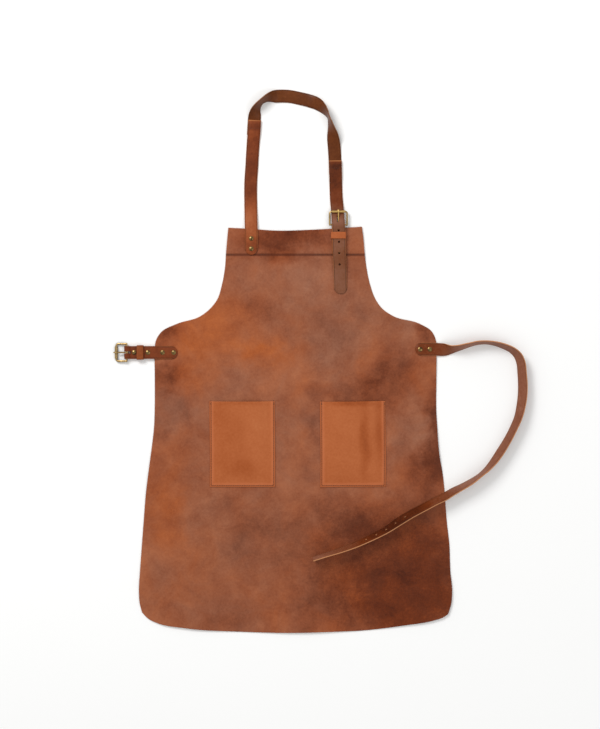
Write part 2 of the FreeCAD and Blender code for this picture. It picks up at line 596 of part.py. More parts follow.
waist_heel = Vector(WAIST_HEEL_X, 0, waist_heel_z)
waist_drop = waist_heel_z - WAIST_ROLLER_R - FLOOR_CLEAR
waist_tilt = math.degrees(math.asin(waist_drop / WAIST_BUCKLE_LONG))
frame, half = buckle_frame(WAIST_BUCKLE_LONG, WAIST_BUCKLE_WIDE, WAIST_WIRE_R, WAIST_BAR_R,
                           ROLLER_END_CLEAR)
waist_roller = roller(WAIST_BUCKLE_LONG, half, WAIST_ROLLER_R, WAIST_BAR_R)
waist_pin = prong(WAIST_BUCKLE_LONG, WAIST_ROLLER_R, WAIST_WIRE_R, WAIST_PRONG_R, 0.4)
save("waist_buckle_frame", placed(frame, 180, waist_tilt, waist_heel))
save("waist_roller", placed(waist_roller, 180, waist_tilt, waist_heel))
save("waist_prong", placed(waist_pin, 180, waist_tilt, waist_heel))

# Waist strap: riveted to the apron's right side, then loose on the floor, its end back over the apron
on_apron = PANEL_THICK + LAYER_GAP
strap_route = [(WAIST_STRAP_END_X, WAIST_STRAP_Y, 0), (WAIST_HALF + 2, WAIST_STRAP_Y, 0)]
strap_route += [(WAIST_HALF + x, y, lean) for x, y, lean in WAIST_STRAP_ROUTE]
strap_floor = [on_apron, on_apron] + [0.0] * len(WAIST_STRAP_ROUTE)
for i in range(WAIST_STRAP_OVER_APRON, len(strap_floor)):
    strap_floor[i] = PANEL_THICK + CLEAR
strap = leaning_strip(strap_route, strap_floor, STRAP_WIDE, STRAP_THICK)
strap = pierce(strap, [end_trim(Vector(WAIST_STRAP_END_X, WAIST_STRAP_Y, 0), -ALONG_X, STRAP_WIDE)]
               + [post_hole(x, y) for x, y in waist_rivets])
fold_deg = math.radians(WAIST_STRAP_FOLD_DEG)
fold_along = Vector(math.cos(fold_deg), math.sin(fold_deg), 0)
fold_out = Vector(fold_along.y, -fold_along.x, 0)
fold_at = Vector(WAIST_STRAP_FOLD_X, WAIST_STRAP_Y, 0)
save("waist_strap_anchor", parted(strap, fold_at, fold_along, fold_out * -1))
save("waist_strap", parted(strap, fold_at, fold_along, fold_out))

# Rivets
groups = {
    "neck_strap_left": [rivet(x, y, 0, strap_low + STRAP_THICK) for x, y in neck_rivets],
    "buckle_strap": [rivet(x, y, 0, low_leg + layer + leg, RIVET_LOW_CAP_HIGH)
                     for x, y in buckle_strap_rivets],
    "waist_tab_anchor": [rivet(x, y, 0, on_panel + half_tab) for x, y in tab_rivets],
    "waist_tab_fold": [rivet(x, 0, TAB_LIFT - RIVET_DISC_HIGH, upper_leg + half_tab)
                       for x in TAB_FOLD_RIVETS_X],
    "waist_strap": [rivet(x, y, 0, on_apron + STRAP_THICK) for x, y in waist_rivets],
}
for name, pairs in groups.items():
    save(f"{name}_rivet_caps", *[cap for cap, stud in pairs])
    save(f"{name}_rivet_studs", *[stud for cap, stud in pairs])
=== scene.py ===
import math

import bpy
import numpy as np
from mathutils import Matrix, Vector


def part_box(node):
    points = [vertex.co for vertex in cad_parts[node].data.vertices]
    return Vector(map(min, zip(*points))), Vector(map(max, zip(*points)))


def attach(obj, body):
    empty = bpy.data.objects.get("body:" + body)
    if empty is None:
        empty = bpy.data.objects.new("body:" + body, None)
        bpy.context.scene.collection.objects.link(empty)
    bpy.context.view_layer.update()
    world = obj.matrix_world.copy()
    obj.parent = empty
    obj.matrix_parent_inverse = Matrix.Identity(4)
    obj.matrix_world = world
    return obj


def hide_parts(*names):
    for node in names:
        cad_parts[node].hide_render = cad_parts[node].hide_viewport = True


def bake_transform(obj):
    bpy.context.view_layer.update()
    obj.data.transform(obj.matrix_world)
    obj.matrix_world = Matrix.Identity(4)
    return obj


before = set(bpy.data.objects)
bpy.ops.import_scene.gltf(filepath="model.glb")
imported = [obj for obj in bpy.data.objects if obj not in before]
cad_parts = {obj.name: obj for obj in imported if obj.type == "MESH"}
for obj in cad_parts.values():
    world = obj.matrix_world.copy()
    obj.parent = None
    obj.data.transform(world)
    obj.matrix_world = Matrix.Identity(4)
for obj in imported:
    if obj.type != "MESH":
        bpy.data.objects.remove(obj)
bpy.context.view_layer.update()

# Floor, light and camera.
# The apron lies on a white table under one broad soft light from the upper left and a white room,
# and the camera looks straight down on it through a long lens.
VIEW_HIGH = 1.4216      # length of table that the view takes in, from top to bottom
VIEW_MIDDLE = (0.0088, -0.0234)
LENS = 0.085
SENSOR = 0.036
TABLE_HALF = 6.0
TABLE_LOW = 0.0002      # the table's top, just under the apron's back


def linear(code):
    """An sRGB hex code as linear red, green, blue and 1."""
    parts = np.array([int(code[i:i + 2], 16) for i in (1, 3, 5)]) / 255
    low = parts / 12.92
    high = ((parts + 0.055) / 1.055) ** 2.4
    return (*np.where(parts <= 0.04045, low, high), 1.0)


def node(tree, kind, settings=None, **inputs):
    """Add a node; settings are its own fields, inputs are numbers, colours or sockets to link."""
    made = tree.nodes.new(kind)
    for field, value in (settings or {}).items():
        setattr(made, field, value)
    for name, value in inputs.items():
        socket = made.inputs[int(name[1:])] if name[0] == "i" and name[1:].isdigit() else made.inputs[name]
        if isinstance(value, bpy.types.NodeSocket):
            tree.links.new(value, socket)
        else:
            socket.default_value = value
    return made


def material(name):
    """A new material with its tree, its shader and its shader's output already linked."""
    made = bpy.data.materials.new(name)
    made.use_nodes = True
    tree = made.node_tree
    tree.nodes.clear()
    shader = tree.nodes.new("ShaderNodeBsdfPrincipled")
    out = tree.nodes.new("ShaderNodeOutputMaterial")
    tree.links.new(shader.outputs["BSDF"], out.inputs["Surface"])
    return made, tree, shader


def ramp(tree, factor, stops):
    """A colour ramp through (place, hex) stops."""
    made = node(tree, "ShaderNodeValToRGB", None, Fac=factor)
    while len(made.color_ramp.elements) < len(stops):
        made.color_ramp.elements.new(0.5)
    for element, (place, code) in zip(made.color_ramp.elements, stops):
        element.position = place
        element.color = linear(code)
    return made.outputs["Color"]


def mesh_piece(name, points, faces, smooth=True, uv=None):
    """A closed mesh object from arrays of points and faces; uv gives each point's own pair."""
    mesh = bpy.data.meshes.new(name)
    mesh.from_pydata(points.tolist(), [], faces.tolist())
    if uv is not None:
        layer = mesh.uv_layers.new(name="Across_along")
        corner = np.empty(len(mesh.loops), dtype=np.int32)
        mesh.loops.foreach_get("vertex_index", corner)
        layer.data.foreach_set("uv", uv[corner].astype(np.float32).ravel())
    mesh.polygons.foreach_set("use_smooth", np.full(len(mesh.polygons), smooth))
    mesh.update()
    made = bpy.data.objects.new(name, mesh)
    bpy.context.collection.objects.link(made)
    return made


corners = np.array([(-TABLE_HALF, -TABLE_HALF, -TABLE_LOW), (TABLE_HALF, -TABLE_HALF, -TABLE_LOW),
                    (TABLE_HALF, TABLE_HALF, -TABLE_LOW), (-TABLE_HALF, TABLE_HALF, -TABLE_LOW)])
floor = mesh_piece("table", corners, np.array([[0, 1, 2, 3]]), smooth=False)
paper, tree, shader = material("matt white paper")
speckle = node(tree, "ShaderNodeTexNoise", None, Scale=3.0, Detail=2.0)
tree.links.new(ramp(tree, speckle.outputs["Fac"], [(0.0, "#f6f6f5"), (1.0, "#fbfbfa")]),
               shader.inputs["Base Color"])
shader.inputs["Roughness"].default_value = 0.9
shader.inputs["Specular IOR Level"].default_value = 0.1
floor.data.materials.append(paper)

world = bpy.data.worlds.new("white room")
world.use_nodes = True
world.node_tree.nodes["Background"].inputs["Color"].default_value = (1.0, 1.0, 1.0, 1.0)
world.node_tree.nodes["Background"].inputs["Strength"].default_value = 0.62
bpy.context.scene.world = world


def softbox(name, place, aim, side, watts):
    """A square area light at a place, turned to face a point."""
    light = bpy.data.lights.new(name, "AREA")
    light.size = side
    light.energy = watts
    lamp = bpy.data.objects.new(name, light)
    toward = np.array(aim) - np.array(place)
    pitch = math.atan2(math.hypot(toward[0], toward[1]), -toward[2])
    lamp.location = place
    lamp.rotation_euler = (pitch, 0, math.atan2(toward[1], toward[0]) - math.pi / 2)
    bpy.context.collection.objects.link(lamp)


softbox("window_light", (-1.5, 1.9, 2.3), (0, 0, 0), 1.3, 66)
softbox("fill_light", (1.9, -1.2, 2.6), (0, 0, 0), 2.2, 20)

lens = bpy.data.cameras.new("camera")
lens.sensor_fit = "VERTICAL"
lens.sensor_height = SENSOR * 1000
lens.lens = LENS * 1000
lens.clip_end = 50
camera = bpy.data.objects.new("camera", lens)
camera.location = (*VIEW_MIDDLE, VIEW_HIGH * LENS / SENSOR)
bpy.context.collection.objects.link(camera)
bpy.context.scene.camera = camera
bpy.context.scene.view_settings.view_transform = "Standard"

# Apron body.
# One side of oiled pull-up cowhide, 1.6 mm thick, cut to shape, its top edge turned under 54 mm and
# sewn. The raw edges are slightly rounded by wear, and the sheet never lies quite flat.
LEATHER = 0.0016
BIB_TOP = 0.2415
HEM_DEPTH = 0.054
SEAM_Y = BIB_TOP - HEM_DEPTH + 0.0029
SEAM_DEEP = 0.00085     # how far the stitches pull the leather down
HEM_GAP = 0.0018        # height of the front layer over the turned one
SWELL = 0.0032          # how high the loose edges ripple off the table
# Cutting line: half width and height, from the bottom corner up to the top edge
LEFT_CUT = [(0.2990, -0.5070), (0.3034, -0.4905), (0.3052, -0.4640), (0.3032, -0.4280), (0.3005, -0.3900),
            (0.2963, -0.3340), (0.2915, -0.2740), (0.2857, -0.2270), (0.2800, -0.1840), (0.2757, -0.1450),
            (0.2744, -0.1080), (0.2742, -0.0500), (0.2742, 0.0000), (0.2722, 0.0230), (0.2620, 0.0395),
            (0.2320, 0.0555), (0.1845, 0.0712), (0.1650, 0.0868), (0.1531, 0.1024), (0.1430, 0.1336),
            (0.1375, 0.1650), (0.1352, 0.1960), (0.1325, 0.2270), (0.1310, 0.2415)]
RIGHT_CUT = [(0.2975, -0.5095), (0.3032, -0.4905), (0.3052, -0.4640), (0.3020, -0.4280), (0.2996, -0.3700),
             (0.2954, -0.3340), (0.2919, -0.2876), (0.2876, -0.2410), (0.2798, -0.1940), (0.2765, -0.1472),
             (0.2746, -0.1160), (0.2746, -0.0500), (0.2746, 0.0000), (0.2735, 0.0244), (0.2660, 0.0405),
             (0.2428, 0.0556), (0.1901, 0.0712), (0.1680, 0.0868), (0.1565, 0.1030), (0.1450, 0.1336),
             (0.1385, 0.1650), (0.1345, 0.1960), (0.1318, 0.2270), (0.1295, 0.2435)]
BOTTOM_CUT = [(-0.2990, -0.5070), (-0.2870, -0.5190), (-0.2693, -0.5275), (-0.2150, -0.5372),
              (-0.1050, -0.5445), (-0.0100, -0.5464), (0.0700, -0.5445), (0.1289, -0.5421),
              (0.2110, -0.5322), (0.2720, -0.5215), (0.2870, -0.5165), (0.2975, -0.5095)]
TOP_CUT = [(-0.1310, 0.2415), (-0.0900, 0.2395), (-0.0400, 0.2360), (0.0300, 0.2375), (0.0900, 0.2410),
           (0.1295, 0.2435)]


def distances(points):
    """How far along the line each point is: the lengths of the steps before it, added up."""
    return np.concatenate([[0], np.cumsum(np.linalg.norm(np.diff(points, axis=0), axis=1))])


def smooth_line(points, shares):
    """A smooth curve through points, as cubic pieces whose slope at each point is the chord's
    through its two neighbours, read at the given shares of its length as seen from above."""
    points = np.asarray(points, float)
    at = distances(points[:, :2])
    slope = np.gradient(points, at, axis=0)
    want = np.asarray(shares) * at[-1]
    piece = np.clip(np.searchsorted(at, want, side="right") - 1, 0, len(at) - 2)
    span = (at[piece + 1] - at[piece])[:, None]
    t = ((want - at[piece]) / span[:, 0])[:, None]
    start, end = points[piece], points[piece + 1]
    return ((2 * t**3 - 3 * t**2 + 1) * start + (t**3 - 2 * t**2 + t) * span * slope[piece]
            + (3 * t**2 - 2 * t**3) * end + (t**3 - t**2) * span * slope[piece + 1])


def worn_spacing(count, length, inset=0.0009):
    """Shares from 0 to 1, evenly spaced but for three close lines by each edge."""
    close = np.array([0, inset * 0.35, inset]) / length
    return np.concatenate([close, np.linspace(0, 1, count)[1:-1], 1 - close[::-1]])


def hide(name, middle, thick, uv, worn=0.62):
    """A closed piece of leather on the middle surface given as a grid: its two faces stand half the
    thickness off along the grid's normals, thinned at the grid's border, and a rim joins them."""
    rows, columns = middle.shape[:2]
    normal = np.cross(np.gradient(middle, axis=1), np.gradient(middle, axis=0))
    normal /= np.linalg.norm(normal, axis=2, keepdims=True) + 1e-12
    taper = np.ones((rows, columns))
    taper[[1, -2], :] = taper[:, [1, -2]] = (1 + worn) / 2 + 0.08
    taper[[0, -1], :] = taper[:, [0, -1]] = worn
    offset = normal * (taper[..., None] * np.asarray(thick)[..., None] / 2)
    faces_up = (middle + offset).reshape(-1, 3)
    faces_down = (middle - offset).reshape(-1, 3)
    index = np.arange(rows * columns).reshape(rows, columns)
    quads = np.stack([index[:-1, :-1], index[:-1, 1:], index[1:, 1:], index[1:, :-1]], -1).reshape(-1, 4)
    ring = np.concatenate([index[0, :-1], index[:-1, -1], index[-1, :0:-1], index[:0:-1, 0]])
    after = np.roll(ring, -1)
    base = rows * columns
    wall = np.stack([after, ring, ring + base, after + base], -1)
    back = quads[:, ::-1] + base
    points = np.concatenate([faces_up, faces_down])
    faces = np.concatenate([quads, back, wall])
    both = np.concatenate([uv.reshape(-1, 2)] * 2)
    return mesh_piece(name, points, faces, uv=both)


def bump_between(value, low, high):
    """A smooth step from 0 at low to 1 at high."""
    t = np.clip((value - low) / (high - low), 0, 1)
    return t * t * (3 - 2 * t)


across = worn_spacing(150, 0.55)
up = worn_spacing(196, 0.80)
left = smooth_line([(-x, y) for x, y in LEFT_CUT], up)
right = smooth_line(RIGHT_CUT, up)
bottom = smooth_line(BOTTOM_CUT, across)
top = smooth_line(TOP_CUT, across)
# The four cut edges carried across each other, less what both ways have in common at the corners
u, v = across[None, :, None], up[:, None, None]
plan = ((1 - u) * left[:, None] + u * right[:, None] + (1 - v) * bottom[None] + v * top[None]
        - (1 - u) * (1 - v) * left[0] - u * (1 - v) * right[0] - (1 - u) * v * left[-1] - u * v * right[-1])
x, y = plan[..., 0], plan[..., 1]
# It climbs over the hem's turned edge, and its seam is pulled down
rise = HEM_GAP * bump_between(y, BIB_TOP - HEM_DEPTH - 0.010, BIB_TOP - HEM_DEPTH + 0.0005)
seam_dip = SEAM_DEEP * np.exp(-((y - SEAM_Y) / 0.0017) ** 2)
# Below the waist its edges ripple, but not where the waist strap lies on it
rim = np.minimum(np.minimum(across, 1 - across)[None, :] * 0.6, up[:, None] * 0.8)
loose_rim = np.exp(-(rim / 0.035) ** 2) * (1 - bump_between(y, -0.05, 0.02))
ripple = (0.5 + 0.5 * np.sin(x * 27 + 1.3 * np.sin(y * 19))) * (0.5 + 0.5 * np.sin(y * 23 + 0.8))
under_strap = bump_between(x, 0.02, 0.10) * bump_between(y, -0.45, -0.40)
under_strap = under_strap * (1 - bump_between(y, -0.24, -0.20))
swell = SWELL * loose_rim * ripple * (1 - under_strap)
height = LEATHER / 2 + rise - seam_dip + swell
front = np.stack([x, y, height], -1)
# The turned edge: half a circle, then a flat leg down the back
turn = np.linspace(0, math.pi, 7)[1:, None]
turn_r = HEM_GAP / 2
edge_row = front[-1]
round_shape = (len(turn), len(across))
round_rows = np.stack([
    np.broadcast_to(edge_row[:, 0], round_shape),
    edge_row[:, 1] + turn_r * np.sin(turn),
    np.broadcast_to(LEATHER / 2 + turn_r + turn_r * np.cos(turn), round_shape),
], -1)
back_y = edge_row[:, 1] - np.linspace(0.004, HEM_DEPTH, 14)[:, None]
left_half, right_half = (np.interp(back_y[:, 0], [y for x, y in cut], [x for x, y in cut])[:, None]
                         for cut in (LEFT_CUT, RIGHT_CUT))
back_x = -left_half + across[None, :] * (left_half + right_half)
back_rows = np.stack([back_x, back_y, np.full_like(back_x, LEATHER / 2)], -1)
sheet = np.concatenate([front, round_rows, back_rows])
apron = hide("apron_body", sheet, np.full(sheet.shape[:2], LEATHER), sheet[..., :2])

GRAIN = 0.0014       # pebbles of the grain, coarser than life so that they show
SCUFF = 0.045        # scuffs and pulled-up marks
PATCH = 0.26         # broad darker areas where the oil has gathered


def maths(tree, operation, *values):
    """The result of one sum on numbers or sockets."""
    inputs = {f"i{i}": value for i, value in enumerate(values)}
    return node(tree, "ShaderNodeMath", {"operation": operation}, **inputs).outputs[0]


def leather_tone(tree, place, patch, scuff, seed):
    """How pale the leather is, about 0.5: broad patches, scuffs and fine mottling, added up."""
    moved = node(tree, "ShaderNodeMapping", None, Vector=place, Location=(seed, seed * 0.7, seed * 0.3))
    moved = moved.outputs["Vector"]
    tone = 0.5
    for size, strength, detail in ((PATCH, patch, 2.0), (SCUFF, scuff, 6.0), (GRAIN * 3, 0.25, 3.0)):
        noise = node(tree, "ShaderNodeTexNoise", None, Vector=moved, Scale=1 / size, Detail=detail,
                     Roughness=0.6, Distortion=0.4)
        centred = maths(tree, "SUBTRACT", noise.outputs["Fac"], 0.5)
        tone = maths(tree, "MULTIPLY_ADD", centred, strength, tone)
    return tone, moved


EASED = {"interpolation_type": "SMOOTHSTEP"}


def spread(tree, value, low, high, at_low, at_high, settings=None):
    """A number that goes from one amount to another while the value goes from low to high."""
    made = node(tree, "ShaderNodeMapRange", settings, Value=value)
    made.inputs["From Min"].default_value, made.inputs["From Max"].default_value = low, high
    made.inputs["To Min"].default_value, made.inputs["To Max"].default_value = at_low, at_high
    return made.outputs["Result"]


def leather_finish(tree, shader, tone, place, colour, rough, bump):
    """Give the leather its colour, make its pale scuffs duller, and raise its pebbled grain."""
    tree.links.new(colour, shader.inputs["Base Color"])
    dull = spread(tree, tone, 0.3, 0.8, rough - 0.06, rough + 0.14)
    tree.links.new(dull, shader.inputs["Roughness"])
    pebble = node(tree, "ShaderNodeTexVoronoi", {"feature": "SMOOTH_F1"}, Vector=place, Scale=1 / GRAIN)
    crease = node(tree, "ShaderNodeTexNoise", None, Vector=place, Scale=1 / (GRAIN * 9), Detail=5.0,
                  Roughness=0.65)
    relief = maths(tree, "MULTIPLY_ADD", crease.outputs["Fac"], 1.4, pebble.outputs["Distance"])
    raised = node(tree, "ShaderNodeBump", None, Height=relief, Strength=bump, Distance=0.0004)
    tree.links.new(raised.outputs["Normal"], shader.inputs["Normal"])
    shader.inputs["IOR"].default_value = 1.48
    shader.inputs["Specular IOR Level"].default_value = 0.16


def patchy(tree, place, patches, stirred=0.09):
    """How much paler and how much warmer the leather is: soft ovals added up, with a noise moving
    their edges about so that none is a clean oval."""
    stir = node(tree, "ShaderNodeTexNoise", None, Vector=place, Scale=1 / 0.06, Detail=4.0, Roughness=0.6)
    moved = node(tree, "ShaderNodeVectorMath", {"operation": "MULTIPLY_ADD"}, i0=stir.outputs["Color"],
                 i1=(stirred, stirred, 0.0), i2=place).outputs["Vector"]
    paler, warmer = 0.0, 0.0
    for x, y, wide, tall, pale, warm in patches:
        x, y = x + stirred / 2, y + stirred / 2
        oval = node(tree, "ShaderNodeVectorMath", {"operation": "MULTIPLY_ADD"}, i0=moved,
                    i1=(1 / wide, 1 / tall, 0.0), i2=(-x / wide, -y / tall, 0.0))
        away = node(tree, "ShaderNodeVectorMath", {"operation": "LENGTH"}, i0=oval.outputs["Vector"])
        spot = spread(tree, away.outputs["Value"], 0.0, 1.0, 1.0, 0.0, EASED)
        paler, warmer = (maths(tree, "MULTIPLY_ADD", spot, amount, total)
                         for amount, total in ((pale, paler), (warm, warmer)))
    return paler, warmer


def mixed(tree, factor, first, second):
    """One colour laid over another."""
    made = node(tree, "ShaderNodeMix", {"data_type": "RGBA"}, Factor=factor)
    for index, colour in ((6, first), (7, second)):
        if isinstance(colour, str):
            made.inputs[index].default_value = linear(colour)
        else:
            tree.links.new(colour, made.inputs[index])
    return made.outputs[2]


# Oil-darkened hide is red brown; where the wax has come to the surface it is dull and greyer, and
# where it is stretched or scuffed it is orange.
DULL_TONES = [(0.10, "#46200f"), (0.30, "#653724"), (0.50, "#824f39"), (0.70, "#96634b"), (0.92, "#a8755a")]
WARM_TONES = [(0.10, "#481a05"), (0.30, "#6a2d0e"), (0.50, "#90451d"), (0.70, "#a65627"), (0.92, "#b96a33")]
# The ovals paint the hide's own mottling and also painted shade: darker where the sheet folds softly, over
# the turned hem above its seam, and beside the waist anchors where the sheet is dented.
# Each patch: its middle across and up, its reach across and up, how much paler, how much warmer
MOTTLE_AND_SHADE_PATCHES = [
    (-0.180, 0.055, 0.150, 0.120, 0.04, 0.38), (-0.050, 0.000, 0.150, 0.045, 0.09, 0.41),
    (-0.188, -0.034, 0.080, 0.080, 0.04, 0.25), (0.190, -0.035, 0.090, 0.090, -0.18, 0.14),
    (-0.260, -0.313, 0.070, 0.130, -0.01, 0.36), (0.225, -0.450, 0.300, 0.240, -0.33, 0.63),
    (-0.020, 0.225, 0.130, 0.055, -0.32, 0.41), (0.011, 0.139, 0.080, 0.100, 0.05, -0.32),
    (0.091, 0.067, 0.100, 0.080, 0.00, -0.27), (0.071, -0.002, 0.090, 0.080, -0.04, -0.27),
    (0.035, -0.150, 0.030, 0.150, -0.13, -0.18), (0.228, -0.150, 0.060, 0.110, 0.02, -0.36),
    (-0.244, -0.110, 0.080, 0.055, -0.05, -0.32), (-0.050, -0.350, 0.200, 0.120, -0.06, -0.14),
    (0.051, -0.495, 0.120, 0.080, -0.13, -0.09), (-0.087, 0.079, 0.070, 0.045, -0.12, 0.05),
    (-0.250, -0.043, 0.070, 0.042, -0.25, 0.23), (0.116, -0.079, 0.120, 0.040, -0.19, 0.09),
    (0.255, 0.035, 0.055, 0.035, -0.20, 0.14), (0.272, -0.110, 0.035, 0.080, -0.24, 0.09),
    (0.268, -0.185, 0.040, 0.090, -0.25, 0.09), (0.112, -0.325, 0.140, 0.065, -0.16, 0.05),
    (0.250, -0.240, 0.060, 0.080, -0.17, 0.14), (0.192, -0.500, 0.055, 0.060, -0.06, 0.09),
    (0.132, 0.022, 0.055, 0.065, 0.11, -0.05), (0.225, 0.046, 0.030, 0.055, 0.14, -0.18),
    (-0.030, -0.045, 0.130, 0.045, 0.09, 0.05), (-0.240, -0.400, 0.140, 0.140, 0.05, 0.05),
    (-0.250, 0.045, 0.080, 0.050, -0.26, 0.10),
]
skin, tree, shader = material("oiled pull-up cowhide")
place = node(tree, "ShaderNodeTexCoord").outputs["Object"]
tone, moved = leather_tone(tree, place, 0.30, 0.50, 0.0)
paler, warmer = patchy(tree, place, MOTTLE_AND_SHADE_PATCHES)
tone = maths(tree, "ADD", maths(tree, "ADD", tone, paler), 0.08)
drift = node(tree, "ShaderNodeTexNoise", None, Vector=moved, Scale=1 / 0.09, Detail=5.0, Roughness=0.6,
             Distortion=0.5).outputs["Fac"]
warmth = maths(tree, "ADD", maths(tree, "MULTIPLY", drift, 1.3), -0.25)
warmth = node(tree, "ShaderNodeClamp", None, Value=maths(tree, "ADD", warmth, warmer)).outputs[0]
colour = mixed(tree, warmth, ramp(tree, tone, DULL_TONES), ramp(tree, tone, WARM_TONES))
# Painted shade: the seam of the turned hem is pulled down into a groove, and a dark line is painted
# along it.
height = node(tree, "ShaderNodeSeparateXYZ", None, Vector=place).outputs["Y"]
off = maths(tree, "ABSOLUTE", maths(tree, "SUBTRACT", height, SEAM_Y))
colour = mixed(tree, spread(tree, off, 0.0007, 0.0042, 0.72, 0.0, EASED), colour, "#4a1c09")
leather_finish(tree, shader, tone, place, colour, 0.46, 0.5)
apron.data.materials.append(skin)
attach(apron, "apron")
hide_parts("apron_panel")


# Stitches.
# Waxed dark brown thread, 0.8 mm thick, sewn by machine at 4 mm a stitch; each stitch dips into its
# two holes and stands proud between them.
STITCH = 0.0040
THREAD = 0.0008


def stitches(name, lines, body, replaced, stitch=STITCH, thick=THREAD):
    """Each stitch is a bent bead: a tube whose line is a half wave of the thread's height, and whose
    radius falls as a half circle at both ends. Lines are pairs of end points on the leather."""
    around = np.linspace(0, 2 * math.pi, 7)[:-1]
    share = np.array([0.0, 0.12, 0.35, 0.65, 0.88, 1.0])
    size = np.sqrt(np.clip(1 - (2 * share - 1) ** 4, 0.04, 1)) * thick / 2
    points, faces = [], []
    for start, end in lines:
        start, end = np.asarray(start, float), np.asarray(end, float)
        length = np.linalg.norm(end - start)
        count = max(int(length / stitch), 1)
        along = (end - start) / length
        side = np.cross((0, 0, 1.0), along)
        for i in range(count):
            origin = start + along * (i + 0.12) * length / count
            run = origin + along * share[:, None] * length / count * 0.76
            run[:, 2] += thick * 0.42 * np.sin(math.pi * share) - thick * 0.12
            ring = np.cos(around)[:, None] * side + np.sin(around)[:, None] * np.array([0, 0, 1.0])
            tube = run[:, None] + ring * size[:, None, None]
            base = sum(len(p) for p in points)
            grid = np.arange(len(share) * 6).reshape(len(share), 6) + base
            turned = np.roll(grid, -1, axis=1)
            quads = np.stack([grid[:-1], turned[:-1], turned[1:], grid[1:]], -1).reshape(-1, 4)
            points.append(tube.reshape(-1, 3))
            faces.append(quads.tolist() + [grid[0, ::-1].tolist(), grid[-1].tolist()])
    mesh = bpy.data.meshes.new(name)
    mesh.from_pydata(np.concatenate(points).tolist(), [], [f for group in faces for f in group])
    mesh.polygons.foreach_set("use_smooth", np.full(len(mesh.polygons), True))
    made = bpy.data.objects.new(name, mesh)
    bpy.context.collection.objects.link(made)
    made.data.materials.append(thread_skin)
    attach(made, body)
    if replaced:
        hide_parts(replaced)
    return made


thread_skin, tree, shader = material("waxed polyester thread")
place = node(tree, "ShaderNodeTexCoord").outputs["Object"]
ply = node(tree, "ShaderNodeTexWave", {"bands_direction": "DIAGONAL"}, Vector=place, Scale=1 / 0.0006)
thread_tones = ramp(tree, ply.outputs["Fac"], [(0.0, "#2a120a"), (1.0, "#4a2414")])
tree.links.new(thread_tones, shader.inputs["Base Color"])
raised = node(tree, "ShaderNodeBump", None, Height=ply.outputs["Fac"], Strength=0.4, Distance=0.0001)
tree.links.new(raised.outputs["Normal"], shader.inputs["Normal"])
shader.inputs["Roughness"].default_value = 0.5

seam_z = LEATHER + HEM_GAP - 0.0008
stitches("top_hem_stitches", [((-0.1325, SEAM_Y, seam_z), (-0.1000, SEAM_Y, seam_z)),
                              ((-0.0720, SEAM_Y, seam_z), (0.1330, SEAM_Y, seam_z))], "apron", "hem_thread")

# Patch pockets.
# Two pieces of smoother tan leather, 1.4 mm thick, sewn down on three sides 3 mm in from the edge.
# The open top edge gapes a few millimetres, and a bar of thread locks each of its corners.
POCKET_LEATHER = 0.0014
POCKET_WIDE, POCKET_DEEP, POCKET_TOP = 0.1275, 0.1670, -0.0950
POCKET_GAPE = 0.0046
SEWN_IN = 0.003
POCKET_TONES = [(0.1, "#7c3611"), (0.36, "#9d4f24"), (0.55, "#ad5f34"), (0.8, "#bb7143")]
